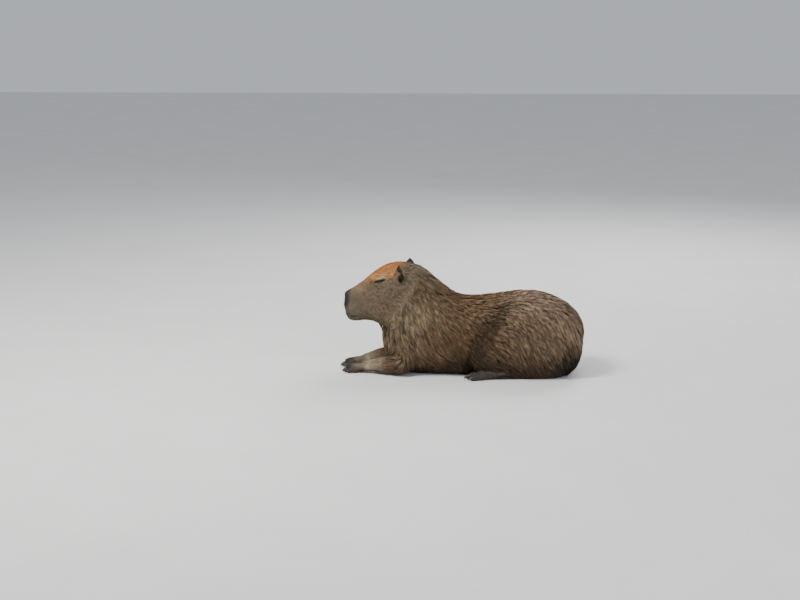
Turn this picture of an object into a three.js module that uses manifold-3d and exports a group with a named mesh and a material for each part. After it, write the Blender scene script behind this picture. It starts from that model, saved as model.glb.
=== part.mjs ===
// A life-size adult capybara lying on its belly with its head up and its forelegs stretched forward.
// Millimetres, +Z up. The animal faces -X and its left side is -Y. It rests on the plane Z = 0.
import * as THREE from "three";
import { mergeVertices, toCreasedNormals } from "three/addons/utils/BufferGeometryUtils.js";
import Module from "manifold-3d";

const wasm = await Module();
wasm.setup();
const { Manifold, Mesh } = wasm;

// Driving dimensions
const REST_LENGTH = 980; // nose to rump as it lies
const RUMP_HEIGHT = 340;
const BACK_HEIGHT = 312;
const BELLY_HALF_WIDTH = 162;
const RUMP_HALF_WIDTH = 146;
const CHEST_HALF_WIDTH = 136;
const HAUNCH_REACH = 190; // from the midline to the outside of the thigh
const HEAD_LENGTH = 240; // nose to the pivot between the ears
const HEAD_TURN = THREE.MathUtils.degToRad(12); // the head looks a little away from the left side
const EAR_HEIGHT = 86;
const EAR_WIDTH = 56;
const EYE_RADIUS = 12;
const PAW_WIDTH = 58;
const GAP = 0.3; // between parts that meet
const FOOT_GAP = 0.6; // round a foot that lies in the coat
const FINENESS = 0.06; // faces smaller than this are smoothed away
const FUSED_FINENESS = 0.3; // the same where pieces are fused before any cut

const NOSE_X = -REST_LENGTH / 2;
const PIVOT = new THREE.Vector3(NOSE_X + HEAD_LENGTH * Math.cos(HEAD_TURN), 0, 320);
const FORWARD = new THREE.Vector3(-Math.cos(HEAD_TURN), Math.sin(HEAD_TURN), 0);
const SIDEWAYS = new THREE.Vector3(-Math.sin(HEAD_TURN), -Math.cos(HEAD_TURN), 0); // to the animal's left
const UP = new THREE.Vector3(0, 0, 1);
const LEFT = -1;
const RIGHT = 1;
const SIDES = [
  ["left", LEFT],
  ["right", RIGHT],
];

const vec = (x, y, z) => new THREE.Vector3(x, y, z);
const mix = THREE.MathUtils.lerp;
const clamp = THREE.MathUtils.clamp;
const smooth = (x, low, high) => THREE.MathUtils.smoothstep(x, low, high);

// A smooth curve through [x, y] pairs that never overshoots them.
function profile(points) {
  const n = points.length;
  const slope = [];
  for (let i = 0; i < n - 1; i++) {
    slope.push((points[i + 1][1] - points[i][1]) / (points[i + 1][0] - points[i][0]));
  }
  const tangent = points.map((p, i) => {
    if (i === 0) return slope[0];
    if (i === n - 1) return slope[n - 2];
    if (slope[i - 1] * slope[i] <= 0) return 0;
    return (2 * slope[i - 1] * slope[i]) / (slope[i - 1] + slope[i]);
  });
  return (x) => {
    if (x <= points[0][0]) return points[0][1];
    if (x >= points[n - 1][0]) return points[n - 1][1];
    let i = 0;
    while (x > points[i + 1][0]) i++;
    const width = points[i + 1][0] - points[i][0];
    const t = (x - points[i][0]) / width;
    const t2 = t * t;
    const t3 = t2 * t;
    return (
      (2 * t3 - 3 * t2 + 1) * points[i][1] +
      (t3 - 2 * t2 + t) * width * tangent[i] +
      (3 * t2 - 2 * t3) * points[i + 1][1] +
      (t3 - t2) * width * tangent[i + 1]
    );
  };
}

// Body masses, each a function that is negative inside
function join(a, b, softness) {
  const h = Math.max(softness - Math.abs(a - b), 0) / softness;
  return Math.min(a, b) - (h * h * softness) / 4;
}

// An ellipsoid whose long axis is pitched nose up by a number of degrees.
function ellipsoid(centre, radii, pitch = 0) {
  const cos = Math.cos(THREE.MathUtils.degToRad(pitch));
  const sin = Math.sin(THREE.MathUtils.degToRad(pitch));
  return (p) => {
    const dx = p.x - centre[0];
    const dz = p.z - centre[2];
    const x = (dx * cos - dz * sin) / radii[0];
    const y = (p.y - centre[1]) / radii[1];
    const z = (dx * sin + dz * cos) / radii[2];
    const near = Math.hypot(x, y, z);
    const slope = Math.hypot(x / radii[0], y / radii[1], z / radii[2]);
    return slope < 1e-9 ? -Math.min(...radii) : (near * (near - 1)) / slope;
  };
}

// A rod with round ends between two points, flattened sideways by a factor.
function limb(from, to, radiusFrom, radiusTo, flatten = 1) {
  const a = vec(from[0], from[1] / flatten, from[2]);
  const along = vec(to[0], to[1] / flatten, to[2]).sub(a);
  const length2 = along.lengthSq();
  return (p) => {
    const x = p.x - a.x;
    const y = p.y / flatten - a.y;
    const z = p.z - a.z;
    const t = clamp((x * along.x + y * along.y + z * along.z) / length2, 0, 1);
    const far = Math.hypot(x - along.x * t, y - along.y * t, z - along.z * t);
    return (far - mix(radiusFrom, radiusTo, t)) * Math.min(1, flatten);
  };
}

const rump = ellipsoid([252, 0, 158], [222, RUMP_HALF_WIDTH, RUMP_HEIGHT - 162], 3);
const seat = ellipsoid([350, 0, 166], [124, 128, 118], 0);
const belly = ellipsoid([60, 0, 138], [250, BELLY_HALF_WIDTH, BACK_HEIGHT - 138]);
const chest = ellipsoid([-160, 0, 134], [182, CHEST_HALF_WIDTH, 166]);
const neckMass = limb([-110, 0, 178], [-262, 0, 318], 142, 112, 0.86);
const nape = limb([-84, 0, 242], [-198, 0, 330], 84, 93, 0.92);
const trunkParts = [rump, belly, chest, neckMass];
const haunches = SIDES.map(([, side]) =>
  ellipsoid([244, side * (HAUNCH_REACH - 92), 140], [228, 92, 174], 6),
);
const knees = SIDES.map(([, side]) => ellipsoid([86, side * 128, 96], [86, 52, 88], 20));
const shoulders = SIDES.map(([, side]) => ellipsoid([-214, side * 82, 142], [104, 60, 122], -18));

function trunk(p) {
  let d = trunkParts[0](p);
  for (let i = 1; i < trunkParts.length; i++) d = join(d, trunkParts[i](p), 64);
  d = join(d, nape(p), 20);
  d = join(d, seat(p), 30);
  for (const mass of shoulders) d = join(d, mass(p), 34);
  for (const mass of knees) d = join(d, mass(p), 22);
  for (const mass of haunches) d = join(d, mass(p), 36);
  return d;
}

// The head: heights and half widths at distances behind the nose
const HEAD_TOP = profile([
  [0, 296], [5, 311], [13, 319], [25, 327], [42, 338], [67, 356], [104, 384],
  [141, 405], [183, 422], [220, 427], [253, 425], [300, 410],
]);
const HEAD_BOTTOM = profile([
  [0, 284], [5, 258], [13, 232], [25, 211], [42, 200], [67, 197], [104, 198],
  [141, 197], [183, 195], [220, 196], [253, 204], [300, 220],
]);
const HEAD_HALF_WIDTH = profile([
  [0, 20], [5, 35], [13, 43], [25, 47], [42, 50], [67, 52], [104, 57],
  [141, 63], [183, 71], [220, 76], [253, 77], [300, 72],
]);
const HEAD_END = 300;
const HEAD_SQUARENESS = 2.7;

// Distance behind the nose, to the animal's left, and height
function headFrame(p) {
  const x = p.x - PIVOT.x;
  const y = p.y;
  return {
    behind: HEAD_LENGTH - (x * FORWARD.x + y * FORWARD.y),
    left: x * SIDEWAYS.x + y * SIDEWAYS.y,
    height: p.z,
  };
}

function headPoint(behind, left, height) {
  return vec(PIVOT.x, 0, 0)
    .addScaledVector(FORWARD, HEAD_LENGTH - behind)
    .addScaledVector(SIDEWAYS, left)
    .setZ(height);
}

const headBumps = [
  // brow ridges
  { at: [146, 52, 384], size: [30, 15, 17], softness: 14 },
  // nose pads
  { at: [17, 22, 298], size: [14, 17, 16], softness: 10 },
  // upper lips
  { at: [42, 27, 232], size: [36, 25, 32], softness: 22 },
  // chewing muscles
  { at: [176, 50, 262], size: [56, 30, 52], softness: 34 },
].map((bump) => ({ ...bump, mass: ellipsoid(bump.at, bump.size) }));

function headMass(p) {
  const h = headFrame(p);
  const s = clamp(h.behind, 0, HEAD_END);
  const top = HEAD_TOP(s);
  const bottom = HEAD_BOTTOM(s);
  const middle = (top + bottom) / 2;
  const tall = (top - bottom) / 2;
  const rise = (h.height - middle) / tall;
  const wide = HEAD_HALF_WIDTH(s) * (1 - 0.1 * clamp(rise, -1, 1));
  const n = HEAD_SQUARENESS;
  const ring = (Math.abs(h.left / wide) ** n + Math.abs(rise) ** n) ** (1 / n);
  let d = (ring - 1) * Math.min(wide, tall);
  const past = Math.max(-h.behind, h.behind - HEAD_END, 0);
  d = past > 0 ? Math.hypot(Math.max(d, 0), past) : d;
  const local = vec(h.behind, Math.abs(h.left), h.height);
  for (const bump of headBumps) d = join(d, bump.mass(local), bump.softness);
  return d;
}

// The fold where the flank slips under the front of the haunch: its x at heights
const FOLD = profile([
  [20, 26], [60, 22], [120, 34], [180, 62], [240, 104], [290, 148], [330, 190],
]);

// How much lower the coat lies in that fold and behind the elbow
function foldDepth(p) {
  const over = smooth(Math.abs(p.y), 50, 105);
  const haunch = 12 * Math.exp(-(((p.x - FOLD(p.z) + 6) / 17) ** 2)) * smooth(-p.z, -335, -270);
  const elbow = 8 * Math.exp(-(((p.x + 168 - 0.25 * p.z) / 20) ** 2)) * smooth(-p.z, -150, -80);
  return over * (haunch + elbow);
}

const body = (p) => join(trunk(p), headMass(p), 46) + foldDepth(p);

// Planes that part the head from the neck and the neck from the torso: a point and a normal to the front
const HEAD_PLANE = { through: vec(-336, 0, 205), normal: vec(-0.861, 0, 0.509).normalize() };
const NECK_PLANE = { through: vec(-60, 0, 330), normal: vec(-0.6, 0, 0.8).normalize() };
const ahead = (plane, p) => p.clone().sub(plane.through).dot(plane.normal);

// Where a ray from inside a mass first leaves it
const REACH = 620;
function surfaceAlong(field, from, direction) {
  const p = vec(0, 0, 0);
  const at = (t) => field(p.copy(from).addScaledVector(direction, t));
  let inside = 0;
  let outside = 0;
  while (outside < REACH && at(outside) < 0) {
    inside = outside;
    outside += clamp(-at(outside) * 0.8, 2.5, 60);
  }
  for (let i = 0; i < 22; i++) {
    const middle = (inside + outside) / 2;
    if (at(middle) < 0) inside = middle;
    else outside = middle;
  }
  return from.clone().addScaledVector(direction, inside);
}

// A closed ball of rings whose points are set by place(share along, share around)
function rings(around, along, place) {
  const geometry = new THREE.SphereGeometry(1, around, along);
  const position = geometry.getAttribute("position");
  for (let n = 0; n < position.count; n++) {
    const j = Math.floor(n / (around + 1));
    const i = n % (around + 1);
    const end = j === 0 || j === along;
    const p = place(j / along, end ? 0 : (i % around) / around);
    position.setXYZ(n, p.x, p.y, p.z);
  }
  return geometry;
}

// The solid inside a closed surface, whichever way its faces turn
function solid(geometry) {
  const bare = geometry.index ? geometry.toNonIndexed() : geometry.clone();
  for (const name of Object.keys(bare.attributes)) {
    if (name !== "position") bare.deleteAttribute(name);
  }
  const merged = mergeVertices(bare, 1e-4);
  const make = (triVerts) =>
    new Manifold(
      new Mesh({ numProp: 3, vertProperties: merged.attributes.position.array, triVerts }),
    );
  const index = new Uint32Array(merged.index.array);
  const first = make(index);
  if (first.volume() > 0) return first;
  for (let i = 0; i < index.length; i += 3) {
    [index[i + 1], index[i + 2]] = [index[i + 2], index[i + 1]];
  }
  return make(index);
}

// A ball-like mesh of a mass about a straight spine: rays fan out at its ends and stand square to it between
function spineRays(start, end, capShare) {
  const along = end.clone().sub(start).normalize();
  const side = vec(0, 1, 0).addScaledVector(along, -along.y).normalize();
  const lift = vec(0, 0, 0).crossVectors(side, along).normalize();
  return (v, u) => {
    const angle = 2 * Math.PI * u;
    const out = side.clone().multiplyScalar(Math.cos(angle)).addScaledVector(lift, Math.sin(angle));
    if (v < capShare) {
      const tilt = ((1 - v / capShare) * Math.PI) / 2;
      const ray = out.multiplyScalar(Math.cos(tilt)).addScaledVector(along, -Math.sin(tilt));
      return { from: start, ray: v === 0 ? along.clone().negate() : ray };
    }
    if (v > 1 - capShare) {
      const tilt = ((1 - (1 - v) / capShare) * Math.PI) / 2;
      const ray = out.multiplyScalar(Math.cos(tilt)).addScaledVector(along, Math.sin(tilt));
      return { from: end, ray: v === 1 ? along.clone() : ray };
    }
    const t = (v - capShare) / (1 - 2 * capShare);
    return { from: start.clone().lerp(end, t), ray: out };
  };
}

function massMesh(field, start, end, capShare, around, along) {
  const rays = spineRays(start, end, capShare);
  return rings(around, along, (v, u) => {
    const { from, ray } = rays(v, u);
    return surfaceAlong(field, from, ray);
  });
}

// All space on the far side of a plane, as far as the animal reaches
const BIG = 1600;
function halfSpace(plane, shift = 0) {
  const box = new THREE.BoxGeometry(BIG, BIG, BIG);
  box.translate(0, 0, BIG / 2);
  const turn = new THREE.Quaternion().setFromUnitVectors(UP, plane.normal);
  box.applyQuaternion(turn);
  const p = plane.through.clone().addScaledVector(plane.normal, shift);
  box.translate(p.x, p.y, p.z);
  return solid(box);
}

const belowFloor = halfSpace({ through: vec(0, 0, 0), normal: vec(0, 0, -1) });
const headSide = halfSpace(HEAD_PLANE, GAP / 2);
const bodySide = halfSpace({
  through: HEAD_PLANE.through,
  normal: HEAD_PLANE.normal.clone().negate(),
}, GAP / 2);
const neckSide = halfSpace(NECK_PLANE, GAP / 2);
const torsoSide = halfSpace({
  through: NECK_PLANE.through,
  normal: NECK_PLANE.normal.clone().negate(),
}, GAP / 2);

// The largest closed surface of a solid
function largest(shape) {
  const pieces = shape.simplify(FINENESS).decompose();
  pieces.sort((a, b) => b.volume() - a.volume());
  return pieces[0];
}

// An oval block that starts beside the midline and runs out past the flank
function sideBlock(side, centre, radii, inner, grow) {
  const block = new THREE.CylinderGeometry(1, 1, 1, 40, 1);
  block.scale(radii[0] + grow, 400, radii[1] + grow);
  block.translate(centre[0], side * (inner - grow + 200), centre[1]);
  return solid(block);
}

const HAUNCH = { centre: [300, 140], radii: [288, 200], inner: 90 };
const UPPER_ARM = { centre: [-262, 96], radii: [70, 100], inner: 66 };
const haunchBlock = (side, grow) =>
  sideBlock(side, HAUNCH.centre, HAUNCH.radii, HAUNCH.inner, grow);
const armBlock = (side, grow) =>
  sideBlock(side, UPPER_ARM.centre, UPPER_ARM.radii, UPPER_ARM.inner, grow);

// Trunk and neck out to the tips of the coat as one mass, a little past the plane where the head begins
const HEAD_OVERLAP = 45;
const TRUNK_SPINE = [vec(318, 0, 150), vec(-236, 0, 186)];
function trunkSolid() {
  const field = (p) => Math.max(body(p), ahead(HEAD_PLANE, p) - HEAD_OVERLAP);
  const [rear, front] = TRUNK_SPINE;
  return solid(massMesh(field, rear, front, 0.26, 50, 52)).subtract(belowFloor);
}

// The head, a little past the same plane
function headSolid() {
  const field = (p) => Math.max(body(p), -ahead(HEAD_PLANE, p) - HEAD_OVERLAP);
  const nose = headPoint(32, 0, 282);
  const back = headPoint(236, 0, 318);
  return solid(massMesh(field, back, nose, 0.2, 40, 36));
}

// A tapered tube through points, flattened where its radii say so
function tube(points, radii, around, along, tall = 1) {
  const curve = new THREE.CatmullRomCurve3(points, false, "centripetal");
  const size = profile(radii);
  return rings(around, along, (v, u) => {
    const cap = 0.12;
    const t = clamp((v - cap / 2) / (1 - cap), 0, 1);
    const centre = curve.getPoint(t);
    const tangent = curve.getTangent(t);
    const side = vec(0, 0, 0).crossVectors(UP, tangent).normalize();
    const lift = vec(0, 0, 0).crossVectors(tangent, side).normalize();
    const round = Math.sin(Math.acos(clamp(1 - 2 * v, -1, 1)));
    const end = v < cap || v > 1 - cap ? Math.sqrt(clamp(round, 0, 1)) : 1;
    const r = size(t) * (v === 0 || v === 1 ? 0 : Math.min(1, end * 1.15));
    const push = (v < cap ? v / cap - 1 : v > 1 - cap ? (v - 1) / cap + 1 : 0) * size(t) * 0.5;
    return centre
      .addScaledVector(tangent, push)
      .addScaledVector(side, r * Math.cos(2 * Math.PI * u))
      .addScaledVector(lift, r * tall * Math.sin(2 * Math.PI * u));
  });
}

// Forelegs: elbow, wrist and toes, with the left paw a little behind the right one
const foreleg = (side) => {
  const lag = side === LEFT ? 14 : 0;
  return {
    elbow: vec(-268 + lag, side * 112, 44),
    wrist: vec(-404 + lag, side * 62, 27),
    paw: vec(-466 + lag, side * 52, 19),
    heading: vec(-1, side * -0.1, 0).normalize(),
  };
};

function forearmSolid(side, grow) {
  const leg = foreleg(side);
  const points = [leg.elbow, leg.elbow.clone().lerp(leg.wrist, 0.55).setZ(37), leg.wrist, leg.paw];
  const radii = [
    [0, 42 + grow], [0.35, 36 + grow], [0.75, 25 + grow], [1, 24 + grow],
  ];
  return solid(tube(points, radii, 12, 10, 0.94)).subtract(belowFloor);
}

// A toe: a blunt tapered pad with its claw in front
function toeSolid(base, heading, length, radius, grow) {
  const tip = base.clone().addScaledVector(heading, length).setZ(radius * 0.72);
  const middle = base.clone().lerp(tip, 0.5).setZ(mix(base.z, tip.z, 0.4));
  const radii = [[0, radius * 1.05 + grow], [0.7, radius + grow], [1, radius * 0.8 + grow]];
  return solid(tube([base, middle, tip], radii, 7, 6, 0.9)).subtract(belowFloor);
}

function clawSolid(tip, heading, length, radius, grow) {
  const end = tip.clone().addScaledVector(heading, length).setZ(radius * 0.55 + 0.6);
  const root = tip.clone().addScaledVector(heading, -length * 0.55).setZ(tip.z + radius * 0.25);
  const middle = root.clone().lerp(end, 0.6).setZ(mix(root.z, end.z, 0.35));
  const radii = [[0, radius + grow], [0.55, radius * 0.95 + grow], [1, radius * 0.42 + grow]];
  return solid(tube([root, middle, end], radii, 6, 6, 0.86)).subtract(belowFloor);
}

// Four toes in front and three behind, fanned about the foot's heading
function toes(foot) {
  const list = [];
  for (let n = 0; n < foot.count; n++) {
    const spread = n / (foot.count - 1) - 0.5;
    const heading = foot.heading.clone().applyAxisAngle(UP, -foot.fan * spread * 2);
    const across = vec(-foot.heading.y, foot.heading.x, 0);
    const short = Math.abs(spread * 2 + foot.bias) ** 2 * foot.step;
    const base = foot.at.clone().addScaledVector(across, -spread * foot.width * 0.66);
    base.setZ(foot.toeRadius * 1.05);
    list.push({ base, heading, length: foot.toeLength - short, radius: foot.toeRadius });
  }
  return list;
}

const forefoot = (side) => {
  const leg = foreleg(side);
  return {
    at: leg.paw.clone().addScaledVector(leg.heading, -8),
    heading: leg.heading,
    count: 4,
    width: PAW_WIDTH,
    fan: 0.34,
    bias: 0.12 * side,
    step: 13,
    toeLength: 42,
    toeRadius: 10.5,
    clawLength: 13,
  };
};

const hindfoot = (side) => ({
  at: vec(70, side * 152, 18),
  heel: vec(232, side * 146, 26),
  heading: vec(-1, side * 0.06, 0).normalize(),
  count: 3,
  width: 56,
  fan: 0.26,
  bias: 0,
  step: 12,
  toeLength: 58,
  toeRadius: 13,
  clawLength: 16,
});

const union = (list) => Manifold.union(list).simplify(FUSED_FINENESS);

function forefootSolid(side, grow = 0) {
  const leg = foreleg(side);
  const foot = forefoot(side);
  const back = leg.wrist.clone();
  const palm = tube(
    [back, leg.paw.clone().lerp(back, 0.35), leg.paw.clone().addScaledVector(leg.heading, 14)],
    [[0, 25 + grow], [0.5, 28 + grow], [1, 24 + grow]],
    10, 8, 0.72,
  );
  palm.translate(0, 0, -3);
  const parts = [solid(palm).subtract(belowFloor)];
  for (const toe of toes(foot)) {
    parts.push(toeSolid(toe.base, toe.heading, toe.length, toe.radius, grow));
  }
  return union(parts);
}

function hindfootSolid(side, grow = 0) {
  const foot = hindfoot(side);
  const sole = tube(
    [foot.heel, foot.heel.clone().lerp(foot.at, 0.5).setZ(22), foot.at],
    [[0, 26 + grow], [0.5, 25 + grow], [1, 29 + grow]],
    10, 8, 0.82,
  );
  const parts = [solid(sole).subtract(belowFloor)];
  for (const toe of toes(foot)) {
    parts.push(toeSolid(toe.base, toe.heading, toe.length, toe.radius, grow));
  }
  return union(parts);
}

function clawSolids(foot, grow) {
  return toes(foot).map((toe) => {
    const tip = toe.base.clone().addScaledVector(toe.heading, toe.length + 2);
    tip.setZ(toe.radius * 0.8);
    return clawSolid(tip, toe.heading, foot.clawLength, toe.radius * 0.58, grow);
  });
}

// Ears: small cups at the back corners of the head, open to the front and outward
const EAR_AT = { behind: 260, left: 67, height: 375 };
const EAR_THICKNESS = 4.5;
const EAR_CLEARANCE = 1.1;
const EAR_ROOT = 9.5;

// A point on the ear's skin: v runs from its root to its tip and u round its edge
function earSurface(side) {
  const left = side === LEFT ? 1 : -1;
  const root = headPoint(EAR_AT.behind, left * EAR_AT.left, EAR_AT.height);
  const outward = SIDEWAYS.clone().multiplyScalar(left);
  const up = UP.clone().multiplyScalar(0.93).addScaledVector(outward, 0.3)
    .addScaledVector(FORWARD, 0.16).normalize();
  const front = FORWARD.clone().multiplyScalar(0.72).addScaledVector(outward, 0.66);
  front.addScaledVector(up, -front.dot(up)).normalize();
  const across = vec(0, 0, 0).crossVectors(up, front).normalize();
  const half = profile([[0, 0.5], [0.2, 0.78], [0.5, 1], [0.8, 0.86], [1, 0.4]]);
  const at = (v, u) => {
    const polar = Math.PI * v;
    const x = Math.sin(polar) * Math.cos(2 * Math.PI * u);
    const face = Math.sin(polar) * Math.sin(2 * Math.PI * u);
    const rise = (1 - Math.cos(polar)) / 2;
    const cup = 11 * (x * x) + 7 * (rise - 0.45) ** 2 - 8 * Math.exp(-(((rise - 0.4) / 0.3) ** 2));
    return root.clone()
      .addScaledVector(up, rise * EAR_HEIGHT - EAR_ROOT)
      .addScaledVector(across, half(rise) * (EAR_WIDTH / 2) * x)
      .addScaledVector(front, cup + (EAR_THICKNESS / 2) * face);
  };
  return { at, up };
}

function earSolid(side, grow) {
  const { at, up } = earSurface(side);
  const step = 1e-3;
  return solid(rings(14, 10, (v, u) => {
    const p = at(v, u);
    if (v === 0) return p.addScaledVector(up, -grow);
    if (v === 1) return p.addScaledVector(up, grow);
    const rising = at(v + step, u).sub(at(v - step, u));
    const turning = at(v, u + step).sub(at(v, u - step));
    return p.addScaledVector(turning.cross(rising).normalize(), -grow);
  }));
}

// Eyes: nearly shut, high on the head, with a slit between the lids
const EYE_AT = { behind: 163, height: 375 };
const EYE_SLIT = { long: 44, rise: 13, depth: 3 };
const EYE_COVER = 1.3; // skin over the eyeball

// A point on the side of the head, raised a little above the skin
function cheekPoint(side, behind, height, raised) {
  const out = SIDEWAYS.clone().multiplyScalar(side === LEFT ? 1 : -1);
  const skin = surfaceAlong(body, headPoint(behind, 0, height), out);
  return skin.addScaledVector(out, raised);
}

const eyeCentre = (side) =>
  cheekPoint(side, EYE_AT.behind, EYE_AT.height + 1.5, -EYE_RADIUS - EYE_COVER);

const ball = (centre, radius, around, along) => {
  const sphere = new THREE.SphereGeometry(radius, around, along);
  sphere.translate(centre.x, centre.y, centre.z);
  return solid(sphere);
};

// A fold or groove beside the eye, bowed up or down by a height and laid along the skin
function eyeFold(side, share, bow, raised, radii) {
  const steps = 7;
  const points = [];
  for (let n = 0; n < steps; n++) {
    const t = n / (steps - 1) - 0.5;
    const behind = EYE_AT.behind + t * EYE_SLIT.long * share;
    const height = EYE_AT.height + t * EYE_SLIT.rise * share + (1 - 4 * t * t) * bow;
    points.push(cheekPoint(side, behind, height, raised));
  }
  return solid(tube(points, radii, 6, 9));
}

const upperLid = (side) => eyeFold(side, 0.86, 5.6, 0.2, [[0, 2], [0.5, 5.2], [1, 2]]);
const lowerLid = (side) => eyeFold(side, 0.9, -4.4, -0.4, [[0, 1.6], [0.5, 3.6], [1, 1.6]]);
const eyeSlit = (side) =>
  eyeFold(side, 1, 0.6, -0.4, [[0, 0.8], [0.2, EYE_SLIT.depth], [0.8, EYE_SLIT.depth], [1, 0.8]]);

// A nostril: a slanting hollow in the front corner of the nose
function nostrilSolid(side) {
  const hollow = new THREE.SphereGeometry(1, 12, 8);
  hollow.scale(9, 4.6, 8);
  hollow.rotateY(0.5);
  hollow.rotateZ((side === LEFT ? 1 : -1) * 0.75 - HEAD_TURN);
  const at = headPoint(5, (side === LEFT ? 1 : -1) * 23, 297);
  hollow.translate(at.x, at.y, at.z);
  return solid(hollow);
}

// The line of the mouth: a groove that wraps round under the nose and runs back to its corner
function mouthSolid() {
  const steps = 9;
  const points = [];
  for (let n = 0; n < steps; n++) {
    const a = (n / (steps - 1)) * 2 - 1;
    const back = Math.abs(a) ** 1.6;
    const behind = 12 + back * 66;
    const left = Math.sign(a) * Math.min(1, Math.abs(a) * 1.9) * (44 + back * 10);
    const height = 232 - Math.sin(Math.min(1, Math.abs(a) * 1.5) * Math.PI * 0.5) * 12 + back * 2;
    points.push(headPoint(behind, left, height));
  }
  return solid(tube(points, [[0, 1.4], [0.15, 3], [0.5, 3.2], [0.85, 3], [1, 1.4]], 5, 18));
}

// Cleft of the upper lip
function cleftSolid() {
  const points = [headPoint(1, 0, 288), headPoint(2, 0, 262), headPoint(12, 0, 232)];
  return solid(tube(points, [[0, 1.6], [0.5, 2.8], [1, 3]], 5, 6));
}

const COLOURS = {
  coat: [0x6d5a44, 0.9],
  face: [0x75603f, 0.85],
  ear: [0x4a3d31, 0.8],
  foot: [0x4b443c, 0.75],
  claw: [0x26221f, 0.45],
  eye: [0x120d0a, 0.15],
};

const group = new THREE.Group();
group.name = "capybara";
const materials = Object.fromEntries(
  Object.entries(COLOURS).map(([name, [color, roughness]]) => [
    name,
    new THREE.MeshStandardMaterial({ name, color, roughness, metalness: 0 }),
  ]),
);

function place(name, shape, finish) {
  const made = largest(shape);
  const mesh = made.getMesh();
  const geometry = new THREE.BufferGeometry();
  const position = new Float32Array(mesh.numVert * 3);
  for (let i = 0; i < mesh.numVert; i++) {
    const from = i * mesh.numProp;
    position.set(mesh.vertProperties.subarray(from, from + 3), i * 3);
  }
  geometry.setAttribute("position", new THREE.BufferAttribute(position, 3));
  geometry.setIndex(new THREE.BufferAttribute(mesh.triVerts, 1));
  const part = new THREE.Mesh(toCreasedNormals(geometry, 0.6), materials[finish]);
  part.name = name;
  group.add(part);
}

const whole = trunkSolid();
const claws = {};
let rest = whole;
for (const [name, side] of SIDES) {
  const fore = forefoot(side);
  const hind = hindfoot(side);
  claws[name] = { fore: clawSolids(fore, 0), hind: clawSolids(hind, 0) };
  const foreClaws = union(clawSolids(fore, GAP));
  const hindClaws = union(clawSolids(hind, GAP));
  const leg = foreleg(side);
  const wrist = leg.wrist.clone().lerp(leg.paw, 0.2);
  const pawSide = halfSpace({ through: wrist, normal: leg.heading }, GAP / 2);
  const armSide = halfSpace({ through: wrist, normal: leg.heading.clone().negate() }, GAP / 2);
  const forearm = forearmSolid(side, 0);
  const paw = union([forefootSolid(side), forearm]).intersect(pawSide).subtract(foreClaws);
  const arm = union([whole.intersect(armBlock(side, 0)), forearm.intersect(armSide)]);
  const foot = hindfootSolid(side).subtract(hindClaws);
  const footSpace = hindfootSolid(side, FOOT_GAP);
  const haunch = whole.intersect(haunchBlock(side, 0)).subtract(footSpace);
  rest = rest
    .subtract(armBlock(side, GAP))
    .subtract(forearmSolid(side, GAP))
    .subtract(haunchBlock(side, GAP))
    .subtract(footSpace);
  place(`foreleg_${name}`, arm.subtract(headSide), "coat");
  place(`forefoot_${name}`, paw, "foot");
  place(`hindleg_${name}`, haunch, "coat");
  place(`hindfoot_${name}`, foot, "foot");
  claws[name].fore.forEach((claw, n) => place(`claw_fore_${name}_${n + 1}`, claw, "claw"));
  claws[name].hind.forEach((claw, n) => place(`claw_hind_${name}_${n + 1}`, claw, "claw"));
}
place("torso", rest.intersect(torsoSide), "coat");
const earSpace = Manifold.union(
  SIDES.flatMap(([, side]) => [earSolid(side, EAR_CLEARANCE), earSolid(side, 0)]),
);
place("neck", rest.intersect(neckSide).intersect(bodySide).subtract(earSpace), "coat");

let head = headSolid().intersect(headSide);
for (const [, side] of SIDES) head = head.add(upperLid(side)).add(lowerLid(side));
for (const [name, side] of SIDES) {
  head = head
    .subtract(ball(eyeCentre(side), EYE_RADIUS + GAP, 14, 9))
    .subtract(eyeSlit(side))
    .subtract(nostrilSolid(side));
  place(`eye_${name}`, ball(eyeCentre(side), EYE_RADIUS, 14, 9), "eye");
  place(`ear_${name}`, earSolid(side, 0), "ear");
}
head = head.subtract(earSpace).subtract(mouthSolid()).subtract(cleftSolid());
place("head", head, "face");

export default group;
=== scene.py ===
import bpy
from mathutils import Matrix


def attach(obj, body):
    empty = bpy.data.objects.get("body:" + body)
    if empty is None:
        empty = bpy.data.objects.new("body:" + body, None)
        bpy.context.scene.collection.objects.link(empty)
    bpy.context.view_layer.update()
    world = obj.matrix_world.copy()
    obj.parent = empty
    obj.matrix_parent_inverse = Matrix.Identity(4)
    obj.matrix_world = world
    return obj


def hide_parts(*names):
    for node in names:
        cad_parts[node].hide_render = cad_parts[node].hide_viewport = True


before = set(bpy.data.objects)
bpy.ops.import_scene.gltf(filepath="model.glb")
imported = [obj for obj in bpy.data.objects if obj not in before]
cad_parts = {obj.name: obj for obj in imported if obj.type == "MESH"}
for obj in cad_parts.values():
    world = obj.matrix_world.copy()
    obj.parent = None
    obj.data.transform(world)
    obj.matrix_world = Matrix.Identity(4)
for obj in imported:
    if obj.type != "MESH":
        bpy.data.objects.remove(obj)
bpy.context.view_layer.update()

import functools
import itertools
import math

import bpy
import numpy as np
from mathutils import Vector

# Sizes, in millimetres, as in the solids
REST_LENGTH = 980.0
RUMP_HEIGHT = 340.0
BACK_HEIGHT = 312.0
BELLY_HALF_WIDTH = 162.0
RUMP_HALF_WIDTH = 146.0
CHEST_HALF_WIDTH = 136.0
HAUNCH_REACH = 190.0
HEAD_LENGTH = 240.0
HEAD_TURN = math.radians(12.0)
EAR_HEIGHT = 86.0
EAR_WIDTH = 56.0
EYE_RADIUS = 12.0
COAT_DEPTH = 13.0
FACE_DEPTH = 1.6
MM = 0.001
SEED = 20240611

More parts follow.
